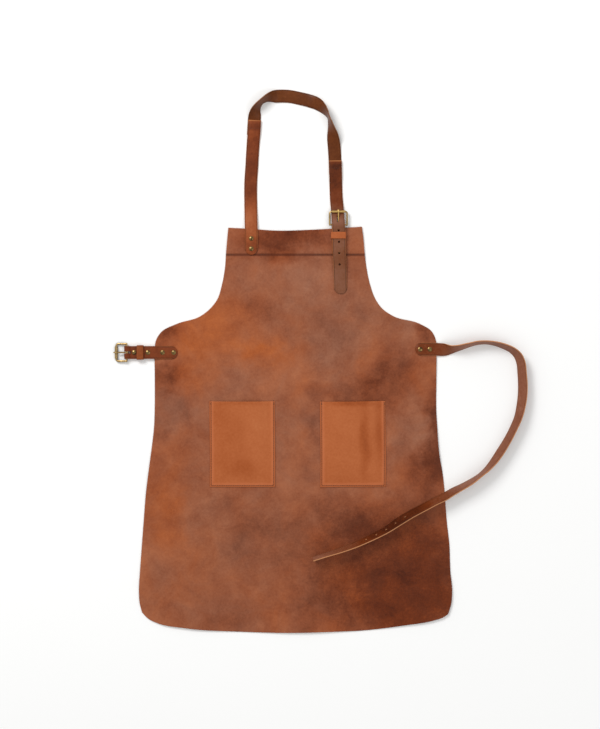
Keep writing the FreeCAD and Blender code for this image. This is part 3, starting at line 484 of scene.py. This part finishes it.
# The right pocket is darker down its middle; both are painted darker in a thin strip just under the
# mouth, a painted shadow of its gaping edge; the left one is paler at its right
POCKET_TONE_AND_SHADOW_PATCHES = {
    "pocket_left": [(-0.080, -0.150, 0.035, 0.090, 0.08, 0), (-0.150, -0.120, 0.030, 0.050, -0.06, 0),
                    (-0.100, -0.225, 0.045, 0.030, -0.10, 0), (-0.100, -0.100, 0.070, 0.008, -0.10, 0)],
    "pocket_right": [(0.135, -0.170, 0.016, 0.110, -0.20, 0), (0.165, -0.150, 0.014, 0.110, -0.16, 0),
                     (0.085, -0.135, 0.035, 0.060, 0.02, 0), (0.112, -0.098, 0.080, 0.010, -0.22, 0)],
}
for name, middle, tilt, seed in (("pocket_left", -0.1035, 0.0, 3.1), ("pocket_right", 0.1120, 0.0014, 5.7)):
    a, b = np.meshgrid(worn_spacing(44, POCKET_WIDE), worn_spacing(56, POCKET_DEEP))
    edge_gap = np.minimum(np.minimum(a, 1 - a) * POCKET_WIDE, b * POCKET_DEEP)
    puff = 1 - np.exp(-(np.clip(edge_gap - 2 * SEWN_IN, 0, None) / 0.020) ** 1.6)
    x = middle + (a - 0.5) * POCKET_WIDE + 0.0006 * np.sin(b * 5.0)
    y = POCKET_TOP - POCKET_DEEP * (1 - b) + tilt * (a - 0.5) - 0.0006 * np.sin(a * math.pi) * b
    z = LEATHER + 0.0001 + POCKET_LEATHER / 2 + POCKET_GAPE * puff * (0.25 + 0.75 * b ** 1.4)
    z -= 0.0001 * np.exp(-((edge_gap - SEWN_IN) / 0.0012) ** 2)
    patch = hide(name + "_patch", np.stack([x, y, z], -1), np.full(x.shape, POCKET_LEATHER),
                 np.stack([a, b], -1))
    inward = patch.data.attributes.new("Inner", "FLOAT", "POINT")
    inward.data.foreach_set("value", np.tile(edge_gap.ravel(), 2).astype(np.float32))
    skin, tree, shader = material("smooth tan leather, " + name[7:] + " pocket")
    place = node(tree, "ShaderNodeTexCoord").outputs["Object"]
    tone, moved = leather_tone(tree, place, 0.34, 0.22, seed)
    tone = maths(tree, "ADD", tone, patchy(tree, place, POCKET_TONE_AND_SHADOW_PATCHES[name], 0.02)[0])
    inner = node(tree, "ShaderNodeAttribute", {"attribute_name": "Inner"}).outputs["Fac"]
    # Painted highlight: a paler salmon band a few millimetres inside the sewn edges, where the raised
    # middle rises towards the light.
    painted_edge_highlight = spread(tree, inner, 0.0045, 0.0105, 0.42, 0.0, EASED)
    colour = mixed(tree, painted_edge_highlight, ramp(tree, tone, POCKET_TONES), "#c26f48")
    # A darker band is painted just inside the stitch line.
    stitch_side_band = spread(tree, inner, 0.0030, 0.0048, 0.45, 0.0, EASED)
    colour = mixed(tree, stitch_side_band, colour, "#8a451f")
    leather_finish(tree, shader, tone, place, colour, 0.44, 0.3)
    patch.data.materials.append(skin)
    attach(patch, "apron")
    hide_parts(name)
    low, high = middle - POCKET_WIDE / 2 + SEWN_IN, middle + POCKET_WIDE / 2 - SEWN_IN
    base, lip = POCKET_TOP - POCKET_DEEP + SEWN_IN, POCKET_TOP - 0.001
    z = LEATHER + POCKET_LEATHER + 0.0002
    seams = [((low, lip, z), (low, base, z)), ((low, base, z), (high, base, z)),
             ((high, base, z), (high, lip, z))]
    seams += [((low, lip + 0.0035, z - 0.0012), (low - 0.001, lip - 0.006, z)),
              ((high, lip + 0.0035, z - 0.0012), (high + 0.001, lip - 0.006, z))]
    stitches(name + "_stitches", seams, "apron", name + "_thread", stitch=0.0034)

# Straps.
# Strips of dark brown strap leather, 25 mm wide and 2.2 mm thick, with a creased line 1.6 mm in from
# each burnished edge. The cut edges show paler, raw leather.
STRAP_WIDE = 0.0250
STRAP_LEATHER = 0.0022
CREASE_IN = 0.0016
CREASE_DEEP = 0.0004
CREASE_WIDE = 0.0004
UV_MIDDLE = 0.05     # where the middle line lies across the UV map
BLUNT = 0.012        # the square of the share of its width that a rounded end keeps
HALF_STRAP = STRAP_LEATHER / 2
STRAP_LINES = np.array([-1, -0.985, -0.955, -0.91, -0.872, -0.835, -0.6, -0.3, 0,
                        0.3, 0.6, 0.835, 0.872, 0.91, 0.955, 0.985, 1]) * STRAP_WIDE / 2


def creased(thick, shape):
    """The leather's thickness: a groove with a bell-shaped section runs in from each edge."""
    groove = np.exp(-((np.abs(STRAP_LINES) - (STRAP_WIDE / 2 - CREASE_IN)) / CREASE_WIDE) ** 2)
    return np.broadcast_to(thick - CREASE_DEEP * groove, shape)


def rounded_end(gap):
    """The share of the full width, at a distance from an end that is half a circle."""
    near = 1 - np.clip(gap, 0, STRAP_WIDE / 2) / (STRAP_WIDE / 2)
    return np.sqrt(np.clip(1 - near ** 2, BLUNT, 1))


def strap(name, route, thick=STRAP_LEATHER, step=0.0035, round_start=False, round_end=False, cup=0.0002):
    """A strip carried along a smooth route of (x, y, height of its middle line, lean in degrees, and a
    pitch in degrees of its width about the route, which is not used). Its width lies across the route,
    raised on the left by the lean; a rounded end narrows as a half circle. UV is metres across and along."""
    route = np.array([(*p, 0.0) if len(p) == 4 else p for p in route], float)
    length = np.linalg.norm(np.diff(route[:, :3], axis=0), axis=1).sum()
    ends = [0, 0.0003 / length, 0.001 / length, 0.003 / length, 0.006 / length]
    count = max(int(length / step), 6)
    shares = np.unique(np.concatenate([ends, np.linspace(0.009 / length, 1 - 0.009 / length, count),
                                       1 - np.array(ends)]))
    line = smooth_line(route, shares)
    middle, lean = line[:, :3], np.radians(line[:, 3])
    heading = np.gradient(middle, axis=0)
    heading /= np.linalg.norm(heading, axis=1, keepdims=True)
    flat = heading * (1, 1, 0)
    flat /= np.linalg.norm(flat, axis=1, keepdims=True)
    left = np.stack([-flat[:, 1], flat[:, 0], np.zeros(len(flat))], -1)
    side = left * np.cos(lean)[:, None] + np.array([0, 0, 1.0]) * np.sin(lean)[:, None]
    face = np.cross(heading, side)
    at = distances(middle)
    narrow = np.ones(len(at))
    for rounded, gap in ((round_start, at), (round_end, at[-1] - at)):
        if rounded:
            narrow = np.minimum(narrow, rounded_end(gap))
    lines = STRAP_LINES[None, :] * narrow[:, None]
    dome = cup * (1 - (STRAP_LINES / (STRAP_WIDE / 2)) ** 2)
    grid = middle[:, None] + side[:, None] * lines[..., None]
    grid += face[:, None] * (dome - cup / 2)[None, :, None]
    depth = creased(thick, grid.shape[:2])
    uv = np.stack([lines + UV_MIDDLE, np.broadcast_to(at[:, None], lines.shape)], -1)
    return hide(name, grid[:, ::-1], depth[:, ::-1], uv[:, ::-1])


def strap_skin(name, stops, seed, rough=0.42, scuff=0.5, raw="#b06f40", patches=(), cut_end=None):
    """Strap leather: the tones of the skin, painted darker along the crease for its burnish and as painted
    shade in its groove, with a raw pale line on the edge and another along a straight cut end, given by
    its height up the apron."""
    made, tree, shader = material(name)
    place = node(tree, "ShaderNodeTexCoord").outputs["Object"]
    tone, moved = leather_tone(tree, place, 0.4, scuff, seed)
    tone = maths(tree, "ADD", tone, patchy(tree, place, patches, 0.01)[0])
    uv = node(tree, "ShaderNodeUVMap", {"uv_map": "Across_along"}).outputs["UV"]
    across = node(tree, "ShaderNodeSeparateXYZ", None, Vector=uv).outputs["X"]
    aside = maths(tree, "ABSOLUTE", maths(tree, "SUBTRACT", across, UV_MIDDLE))
    gap = maths(tree, "ABSOLUTE", maths(tree, "SUBTRACT", aside, STRAP_WIDE / 2 - CREASE_IN))
    # Painted darker along the crease: its burnish, and painted shade in its groove.
    line = spread(tree, gap, 0.0, 0.0009, 0.7, 0.0)
    colour = mixed(tree, line, ramp(tree, tone, stops), "#260e05")
    worn = spread(tree, aside, STRAP_WIDE / 2 - 0.0007, STRAP_WIDE / 2, 0.0, 0.85)
    colour = mixed(tree, worn, colour, raw)
    if cut_end is not None:
        height = node(tree, "ShaderNodeSeparateXYZ", None, Vector=place).outputs["Y"]
        short = maths(tree, "SUBTRACT", cut_end, height)
        colour = mixed(tree, spread(tree, short, 0.0014, 0.0022, 0.7, 0.0), colour, raw)
    leather_finish(tree, shader, tone, place, colour, rough, 0.35)
    return made


DARK_TONES = [(0.15, "#4a1c08"), (0.4, "#6c3013"), (0.6, "#8c4520"), (0.85, "#a8613a")]

# Left neck strap.
# Riveted to the bib, it drops over the top edge to the table and ends, cut straight, over the band.
HEM_FRONT = 0.0035       # front surface of the bib, over its turned hem
BAND_FRONT = 0.0019      # front surface of the neck band
ON_BIB = HEM_FRONT + HALF_STRAP
OVER_BAND = BAND_FRONT + HALF_STRAP
neck_left = strap("neck_strap_left_leather", [
    (-0.0858, 0.1905, ON_BIB, 0), (-0.0860, 0.2150, ON_BIB, 0), (-0.0862, 0.2400, ON_BIB, 0),
    (-0.0865, 0.2530, ON_BIB - 0.0006, 0), (-0.0868, 0.2700, HALF_STRAP + 0.0012, 0),
    (-0.0872, 0.2900, HALF_STRAP, 0), (-0.0872, 0.3300, HALF_STRAP, 0), (-0.0850, 0.3650, HALF_STRAP, 0),
    (-0.0830, 0.4000, HALF_STRAP, 0), (-0.0818, 0.4160, HALF_STRAP + 0.0008, 0),
    (-0.0808, 0.4280, OVER_BAND, 0), (-0.0793, 0.4528, OVER_BAND, 0),
], round_start=True)
brown = strap_skin("waxed brown strap leather, left neck strap", DARK_TONES, 1.7, patches=[
    (-0.087, 0.262, 0.060, 0.060, 0.24, 0), (-0.086, 0.205, 0.040, 0.022, -0.06, 0),
    (-0.082, 0.441, 0.040, 0.014, -0.20, 0), (-0.084, 0.400, 0.050, 0.080, -0.10, 0),
], cut_end=0.4528)
neck_left.data.materials.append(brown)
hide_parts("neck_strap_left", "neck_strap_left_anchor")
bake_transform(neck_left)

# Neck band.
# A softer, smoother, darker strip 1.8 mm thick. It lies flat across the top of the loop and stands on
# its edge to turn both corners.
BAND_LEATHER = 0.0018
BAND_ROUTE = [
    (-0.0822, 0.4240, 0), (-0.0812, 0.4420, 0), (-0.0802, 0.4550, 3), (-0.0788, 0.4640, 24),
    (-0.0762, 0.4730, 50), (-0.0715, 0.4815, 68), (-0.0650, 0.4885, 74), (-0.0570, 0.4935, 66),
    (-0.0470, 0.4970, 44), (-0.0370, 0.4990, 14), (-0.0110, 0.4990, 2), (0.0090, 0.4950, 2),
    (0.0280, 0.4900, 8), (0.0405, 0.4850, 24), (0.0505, 0.4770, 46), (0.0585, 0.4675, 68),
    (0.0640, 0.4580, 82), (0.0672, 0.4470, 74), (0.0700, 0.4340, 56), (0.0726, 0.4210, 30),
    (0.0748, 0.4070, 8), (0.0765, 0.3850, 0), (0.0780, 0.3460, 0),
]


def on_its_edge(route, floor, thick, wide=STRAP_WIDE):
    """Add to each (x, y, lean) the height at which the strip's lower edge just rests on the floor."""
    stations = []
    for (x, y, lean), under in zip(route, floor):
        slope = math.radians(lean)
        stations.append((x, y, under + wide / 2 * math.sin(slope) + thick / 2 * math.cos(slope), lean))
    return stations


band = strap("neck_band_leather", on_its_edge(BAND_ROUTE, [0.0] * len(BAND_ROUTE), BAND_LEATHER),
             thick=BAND_LEATHER, step=0.0025)
BAND_TONES = [(0.15, "#331605"), (0.40, "#57290c"), (0.62, "#733d19"), (0.88, "#97653a")]
band.data.materials.append(strap_skin("smooth drummed leather, neck band", BAND_TONES, 2.9, 0.36, 0.4,
                                      "#8a5a38"))
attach(band, "neck_loop")
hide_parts("neck_band")
seam_z = OVER_BAND + HALF_STRAP
stitches("neck_band_stitches", [
    ((-0.0905, 0.4368, seam_z), (-0.0700, 0.4368, seam_z)),
    ((0.0680, 0.3590, seam_z), (0.0885, 0.3590, seam_z)),
], "neck_loop", "neck_band_thread", stitch=0.0033)

# Buckle strap.
# A short strip 1.8 mm thick, doubled round the neck buckle's heel bar and riveted to the bib, with a
# slot for the prong. The billet hides nearly all of it.
BUCKLE_X = 0.0835
HEEL_Y, HEEL_Z = 0.2486, 0.0074
LEG = 0.0009             # half the thickness of each layer
KEEPER_UNDER = 0.0016    # how high the keeper under it lifts the strap
NECK_WIRE_R = 0.0018
WRAP_ROOM = 0.0003       # room between a bar and the leather folded round it
low_leg, high_leg = HEM_FRONT + LEG, HEM_FRONT + 3 * LEG + 0.0001
low_lifted, high_lifted = low_leg + KEEPER_UNDER, high_leg + KEEPER_UNDER
fold_turn = np.linspace(-math.pi / 2, math.pi / 2, 9)
fold_r = NECK_WIRE_R + WRAP_ROOM + LEG
legs = [(0.1915, low_leg), (0.2120, low_leg), (0.2175, low_lifted), (0.2410, low_lifted)]
legs += [(HEEL_Y + fold_r * math.cos(t), HEEL_Z + fold_r * math.sin(t)) for t in fold_turn]
legs += [(0.2410, high_lifted), (0.2175, high_lifted), (0.2120, high_leg), (0.1915, high_leg)]


def side_strip(name, side_line, middle_x, lines, thick):
    """A strip whose middle line is drawn in side view, as pairs of distance and height, and carried
    straight across its width."""
    far = distances(side_line)
    width = np.broadcast_to(lines[None, :], (len(side_line), len(lines)))
    along = np.broadcast_to(side_line[:, :1], width.shape)
    grid = np.stack([middle_x + width, along, np.broadcast_to(side_line[:, 1:], width.shape)], -1)
    uv = np.stack([width + UV_MIDDLE, np.broadcast_to(far[:, None], width.shape)], -1)
    return hide(name, grid, np.full(width.shape, thick), uv)


def finer(side_line, step=0.0012):
    """Points put in evenly along straight runs, so that the strip can bend where the piece folds."""
    line = np.array(side_line)
    far = distances(line)
    want = np.unique(np.concatenate([far, np.arange(0, far[-1], step)]))
    want = want[np.concatenate([[True], np.diff(want) > 1e-5])]
    return np.stack([np.interp(want, far, line[:, i]) for i in range(2)], -1)


PRONG_SLOT = 0.0019      # half the gap that the prong stands in
finger_lines = np.linspace(PRONG_SLOT, STRAP_WIDE / 2, 6)
for tag, lines, replaced in (("left", -finger_lines[::-1], "buckle_strap_fold"),
                             ("right", finger_lines, "buckle_strap_anchor")):
    ear = side_strip("buckle_strap_" + tag + "_half", finer(legs), BUCKLE_X, lines, 2 * LEG)
    ear.data.materials.append(brown)
    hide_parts(replaced)
    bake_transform(ear)

# Billet.
# The right neck strap. Sewn over the band's end, it passes under the roller and over the heel bar,
# through the keeper, and lies down the bib. Five 4 mm holes, 22 mm apart; the prong is in the first.
BILLET_LIFT = 0.0102
BILLET_HEEL = 0.0127
billet = strap("neck_billet_leather", [
    (0.0776, 0.3742, OVER_BAND, 0), (0.0782, 0.3450, OVER_BAND, 0), (0.0787, 0.3260, HALF_STRAP, 0),
    (0.0797, 0.3000, HALF_STRAP, 0), (0.0805, 0.2900, HALF_STRAP + 0.0003, 0),
    (0.0815, 0.2790, 0.0029, 0), (0.0820, 0.2710, 0.0042, 0), (0.0828, 0.2590, 0.0095, 0),
    (0.0834, 0.2512, BILLET_HEEL, 0), (0.0836, 0.2465, BILLET_HEEL - 0.0002, 0),
    (0.0842, 0.2384, BILLET_LIFT + 0.0002, 0), (0.0848, 0.2150, BILLET_LIFT, 0),
    (0.0852, 0.1930, BILLET_LIFT, 0), (0.0862, 0.1700, 0.0062, 0), (0.0872, 0.1450, 0.0036, 0),
    (0.0876, 0.1300, 0.0031, 0), (0.0880, 0.1147, 0.0031, 0),
], round_end=True, cup=0.0)
HOLE_PITCH = 0.022
HOLE_R = 0.0020
HOLE_SIDES = 24
PUNCH_REACH = 0.0035     # how far the punch goes through, each way from the middle surface


def cut_away(piece, points, faces, solver="EXACT"):
    """Cut a closed tool, given by its points and faces, out of a piece."""
    mesh = bpy.data.meshes.new("tool")
    mesh.from_pydata(points.tolist(), [], faces)
    tool = bpy.data.objects.new("tool", mesh)
    bpy.context.collection.objects.link(tool)
    cut = piece.modifiers.new("cut", "BOOLEAN")
    cut.object, cut.operation, cut.solver = tool, "DIFFERENCE", solver
    bpy.context.view_layer.update()
    graph = bpy.context.evaluated_depsgraph_get()
    piece.data = bpy.data.meshes.new_from_object(piece.evaluated_get(graph))
    piece.modifiers.clear()
    bpy.data.objects.remove(tool)


def punched(piece, places, length_ways, width_ways, long=0.0):
    """Punch holes: each is an upright cylinder on the leather, about a place on its middle surface.
    The first is pulled long: its two half circles are moved apart, lengthways."""
    turn = np.linspace(0, 2 * math.pi, HOLE_SIDES + 1)[:-1, None]
    points, faces = [], []
    for i, (place, ahead, beside) in enumerate(zip(places, length_ways, width_ways)):
        reach = HOLE_R * np.cos(turn) + (long if i == 0 else 0.0) * np.sign(np.cos(turn))
        ring = np.array(place) + reach * ahead + HOLE_R * np.sin(turn) * beside
        out = np.cross(ahead, beside) * PUNCH_REACH
        low = np.arange(HOLE_SIDES) + 2 * HOLE_SIDES * i
        high = low + HOLE_SIDES
        points += [ring - out, ring + out]
        faces += np.stack([low, np.roll(low, -1), np.roll(high, -1), high], -1).tolist()
        faces += [low[::-1].tolist(), high.tolist()]
    cut_away(piece, np.concatenate(points), faces)


hole_y = 0.2592 - HOLE_PITCH * np.arange(5)
hole_z = [0.0095, BILLET_LIFT, BILLET_LIFT, BILLET_LIFT, 0.0062]
hole_x = np.interp(hole_y, [0.1147, 0.193, 0.2384, 0.2592], [0.0880, 0.0852, 0.0842, 0.0828])
punched(billet, list(zip(hole_x, hole_y, hole_z)), np.tile([0, 1.0, 0], (5, 1)),
        np.tile([-1.0, 0, 0], (5, 1)), long=0.0045)
BILLET_TONES = [(0.12, "#421a07"), (0.32, "#6b3011"), (0.5, "#74452c"), (0.72, "#835643"), (0.9, "#9c7361")]
billet_patches = [
    (0.080, 0.330, 0.080, 0.080, -0.24, 0), (0.082, 0.255, 0.050, 0.022, 0.16, 0),
    (0.086, 0.160, 0.050, 0.070, 0.05, 0), (0.077, 0.364, 0.040, 0.014, -0.16, 0),
]
billet.data.materials.append(strap_skin("waxed strap leather, billet", BILLET_TONES, 4.3, 0.46, 0.5,
                                        patches=billet_patches, cut_end=0.3742))
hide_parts("neck_billet", "neck_billet_tail")
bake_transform(billet)

# Keepers.
# Short bands of leather, 13 mm wide and 1.4 mm thick, bent into closed loops round the straps.
# The neck keeper is pale tan; the waist keeper is a red brown.
KEEPER_LEATHER = 0.0014
KEEPER_BEND = 0.0014


def keeper(name, low, high, along_x, tones, seed, body, replaced):
    """A loop whose middle line is a rectangle with round corners, carried across the keeper's width."""
    low, high = np.array(low) + KEEPER_LEATHER / 2, np.array(high) - KEEPER_LEATHER / 2
    middle, half = (low + high) / 2, (high - low) / 2
    cross, wide = (1, 0) if along_x else (0, 1)
    t = np.linspace(0, 2 * math.pi, 65)
    corner = np.sign(np.stack([np.cos(t + 0.001), np.sin(t + 0.001)], -1))
    straight = np.array([half[cross], half[2]]) - KEEPER_BEND
    ring = corner * straight + KEEPER_BEND * np.stack([np.cos(t), np.sin(t)], -1)
    edge = np.array([-1, -0.93, -0.8, -0.4, 0, 0.4, 0.8, 0.93, 1])
    reach = edge * (half[wide] + KEEPER_LEATHER / 2)
    grid = np.zeros((len(t), len(edge), 3))
    grid[..., cross] = middle[cross] + ring[:, :1]
    grid[..., 2] = middle[2] + ring[:, 1:]
    grid[..., wide] = middle[wide] + reach[None, :]
    if along_x:
        grid = grid[:, ::-1]
    thick = KEEPER_LEATHER * (0.62 + 0.38 * bump_between(1 - np.abs(edge), 0, 0.2))
    normal = np.cross(np.gradient(grid, axis=1), np.gradient(grid, axis=0))
    normal[[0, -1]] = normal[[0, -1]].mean(axis=0)
    normal /= np.linalg.norm(normal, axis=2, keepdims=True)
    outside = (grid + normal * thick[None, :, None] / 2)[:-1]
    inside = (grid - normal * thick[None, :, None] / 2)[:-1]
    section = np.concatenate([outside, inside[:, ::-1]], axis=1)
    rows, columns = section.shape[:2]
    index = np.arange(rows * columns).reshape(rows, columns)
    ahead, beside = np.roll(index, -1, axis=0), np.roll(index, -1, axis=1)
    quads = np.stack([index, beside, np.roll(ahead, -1, axis=1), ahead], -1).reshape(-1, 4)
    made = mesh_piece(name, section.reshape(-1, 3), quads)
    skin, tree, shader = material("smooth leather, " + name.replace("_", " "))
    place = node(tree, "ShaderNodeTexCoord").outputs["Object"]
    tone, moved = leather_tone(tree, place, 0.3, 0.3, seed)
    leather_finish(tree, shader, tone, place, ramp(tree, tone, tones), 0.42, 0.25)
    made.data.materials.append(skin)
    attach(made, body)
    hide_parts(replaced)


for spot, along_x, tones, seed, body in (
    ("neck", False, [(0.2, "#7c3d1c"), (0.5, "#a5572e"), (0.8, "#b97044")], 6.1, "neck_keeper_loop"),
    ("waist", True, [(0.2, "#52240c"), (0.5, "#7c3c18"), (0.8, "#a05c30")], 7.3, "waist_keeper_loop"),
):
    low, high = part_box(spot + "_keeper")
    keeper(spot + "_keeper_leather", low, high, along_x, tones, seed, body, spot + "_keeper")

# Waist tab.
# A strip riveted to the left side, doubled back under itself round the waist buckle's heel bar, with a
# slot through the fold for the prong. Both layers are riveted together on each side of the keeper.
WAIST_HEEL = (-0.3290, 0.0052)
WAIST_WIRE_R = 0.0020
TAB_R = WAIST_WIRE_R + WRAP_ROOM + HALF_STRAP
PANEL_FRONT = 0.0017     # front surface of the apron
ON_PANEL = PANEL_FRONT + HALF_STRAP
UPPER, LOWER = 0.0053, 0.0029
TAB_END = -0.2300
tab_line = [(TAB_END, ON_PANEL), (-0.2632, ON_PANEL), (-0.2664, ON_PANEL + 0.0003),
            (-0.2748, UPPER - 0.0003), (-0.2790, UPPER), (WAIST_HEEL[0] + 2 * TAB_R, UPPER)]
tab_turn = np.radians(np.linspace(60, 280, 15))
tab_line += [(WAIST_HEEL[0] + TAB_R * math.cos(t), WAIST_HEEL[1] + TAB_R * math.sin(t)) for t in tab_turn]
tab_line += [(WAIST_HEEL[0] + 0.007, LOWER), (-0.2810, LOWER)]


def tab_strip(name, line, round_at):
    """A strip in side view along X, whose upper leg's end narrows as a half circle."""
    far = distances(line)
    narrow = np.where(far < far[-1] / 2, rounded_end(round_at - line[:, 0]), 1.0)
    width = STRAP_LINES[None, :] * narrow[:, None]
    grid = np.stack([np.broadcast_to(line[:, :1], width.shape), width,
                     np.broadcast_to(line[:, 1:], width.shape)], -1)
    uv = np.stack([UV_MIDDLE + width, np.broadcast_to(far[:, None], width.shape)], -1)
    return hide(name, grid, creased(STRAP_LEATHER, width.shape), uv)


tab = tab_strip("waist_tab_leather", finer(tab_line), TAB_END)
slot_box = np.array([(x, y, z) for x in (-0.3400, -0.3205) for y in (-0.0020, 0.0020)
                     for z in (-0.005, 0.015)])
box_faces = [[0, 1, 3, 2], [4, 6, 7, 5], [0, 4, 5, 1], [2, 3, 7, 6], [0, 2, 6, 4], [1, 5, 7, 3]]
cut_away(tab, slot_box, box_faces, "FAST")
TAB_TONES = [(0.15, "#42190a"), (0.42, "#632a10"), (0.6, "#7d3c1b"), (0.85, "#a2602f")]
tab.data.materials.append(strap_skin("waxed brown strap leather, waist tab", TAB_TONES, 8.9))
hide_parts("waist_tab", "waist_tab_anchor")
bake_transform(tab)

# Waist strap.
# One long strip riveted to the right side. Off the apron it stands on its edge, swings round on the
# table and runs back over the apron, its grain side facing in. It has five holes near its free end.
WAIST_ROUTE = [
    (0.2338, 0.0062, 0), (0.2500, 0.0062, 0), (0.2660, 0.0062, 0), (0.2763, 0.0060, 0), (0.2860, 0.0056, 8),
    (0.2925, 0.0050, 26), (0.3000, 0.0052, 46), (0.3138, 0.0078, 62), (0.3270, 0.0115, 68),
    (0.3410, 0.0155, 73), (0.3540, 0.0186, 75), (0.3680, 0.0196, 77), (0.3870, 0.0174, 74),
    (0.4075, 0.0112, 69), (0.4220, 0.0040, 65), (0.4325, -0.0062, 59), (0.4380, -0.0190, 56),
    (0.4405, -0.0405, 55), (0.4420, -0.0620, 53),
    (0.4416, -0.0820, 53), (0.4392, -0.1005, 55), (0.4325, -0.1280, 61), (0.4240, -0.1475, 63),
    (0.4163, -0.1630, 63), (0.4075, -0.1785, 62), (0.3978, -0.1940, 61), (0.3870, -0.2095, 65),
    (0.3750, -0.2240, 72), (0.3600, -0.2375, 78), (0.3405, -0.2515, 72), (0.3210, -0.2625, 67),
    (0.3050, -0.2710, 62), (0.2905, -0.2800, 60), (0.2700, -0.2900, 60), (0.2505, -0.3005, 60),
    (0.2250, -0.3140, 59), (0.2010, -0.3285, 58), (0.1780, -0.3440, 65), (0.1450, -0.3610, 69),
    (0.1145, -0.3745, 72), (0.0870, -0.3845, 75), (0.0615, -0.3925, 78), (0.0340, -0.4015, 80),
]
ON_APRON = PANEL_FRONT + 0.0002
FIRST_HOLE = 0.110       # from the strap's tip
# What lies under the strap at each place on its route: the apron, the table, then the apron again
under = [PANEL_FRONT] * 4 + [PANEL_FRONT / 2, 0.0002] + [0.0] * 21
under += [0.0003, 0.0012, PANEL_FRONT + 0.0001] + [ON_APRON] * 13
waist_line = on_its_edge(WAIST_ROUTE, under, STRAP_LEATHER)
waist_strap = strap("waist_strap_leather", waist_line, round_start=True, step=0.0032)
route = np.array(waist_line)
total = distances(route[:, :3])
hole_at = total[-1] - FIRST_HOLE - HOLE_PITCH * np.arange(5)
spot = np.stack([np.interp(hole_at, total, route[:, i]) for i in range(4)], -1)
onward = np.stack([np.interp(hole_at + 0.002, total, route[:, i]) for i in range(3)], -1) - spot[:, :3]
onward /= np.linalg.norm(onward, axis=1, keepdims=True)
beside = np.stack([-onward[:, 1], onward[:, 0], np.zeros(5)], -1) * np.cos(np.radians(spot[:, 3:]))
beside += np.array([0, 0, 1.0]) * np.sin(np.radians(spot[:, 3:]))
punched(waist_strap, spot[:, :3], onward, beside)
WAIST_TONES = [(0.10, "#451a06"), (0.28, "#6c3010"), (0.46, "#7f4a31"), (0.6, "#93604a"), (0.85, "#ae7f62")]
waist_strap.data.materials.append(strap_skin(
    "waxed brown strap leather, waist strap", WAIST_TONES, 9.6, 0.4, 0.4, "#c4875a",
    [(0.262, 0.006, 0.085, 0.060, -0.26, 0), (0.190, -0.335, 0.240, 0.100, -0.40, 0)]))
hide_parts("waist_strap", "waist_strap_anchor")
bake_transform(waist_strap)

# Buckles and rivets.
# Bent brass wire with a turning roller and a flattened prong, and two-piece brass rivets with domed
# caps. All are antiqued: dark in the hollows, worn bright in patches, and painted brighter where they
# face up, a painted highlight on their tops.


def antique_brass(name, bright, dark, rough, share):
    """Brass: a dark oxide skin worn through in patches to the bright metal, painted brighter where it
    faces up as a painted highlight on its tops, with a fine brushed grain.
    """
    made, tree, shader = material(name)
    place = node(tree, "ShaderNodeTexCoord").outputs["Object"]
    wear = node(tree, "ShaderNodeTexNoise", None, Vector=place, Scale=1 / 0.006, Detail=4.0, Roughness=0.6)
    # Painted highlight: the brass is painted brighter where its surface faces up.
    up = node(tree, "ShaderNodeNewGeometry").outputs["Normal"]
    painted_top_light = node(tree, "ShaderNodeSeparateXYZ", None, Vector=up).outputs["Z"]
    worn_and_top_lit = maths(tree, "MULTIPLY_ADD", painted_top_light, 0.22, wear.outputs["Fac"])
    tree.links.new(ramp(tree, worn_and_top_lit, [(share - 0.16, dark), (share + 0.14, bright)]),
                   shader.inputs["Base Color"])
    shader.inputs["Metallic"].default_value = 1.0
    tree.links.new(spread(tree, worn_and_top_lit, 0.0, 1.0, rough + 0.2, rough - 0.08), shader.inputs["Roughness"])
    brushed = node(tree, "ShaderNodeTexNoise", None, Vector=place, Scale=1 / 0.0004, Detail=2.0)
    raised = node(tree, "ShaderNodeBump", None, Height=brushed.outputs["Fac"], Strength=0.12,
                  Distance=0.0001)
    tree.links.new(raised.outputs["Normal"], shader.inputs["Normal"])
    return made


wire = antique_brass("antique brass wire", "#b59868", "#5f4c30", 0.34, 0.58)
bright = antique_brass("rubbed brass", "#dab56e", "#8a6c3a", 0.28, 0.48)
rivet_brass = antique_brass("antique brass, rivets", "#8d7448", "#35261a", 0.34, 0.66)
for name, metal in (("neck_buckle_frame", wire), ("neck_roller", bright), ("neck_prong", bright),
                    ("waist_buckle_frame", wire), ("waist_roller", wire), ("waist_prong", wire)):
    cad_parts[name].material_slots[0].material = metal
for group in ("neck_strap_left", "buckle_strap", "waist_tab_anchor", "waist_tab_fold", "waist_strap"):
    for part in ("caps", "studs"):
        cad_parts[f"{group}_rivet_{part}"].material_slots[0].material = rivet_brass
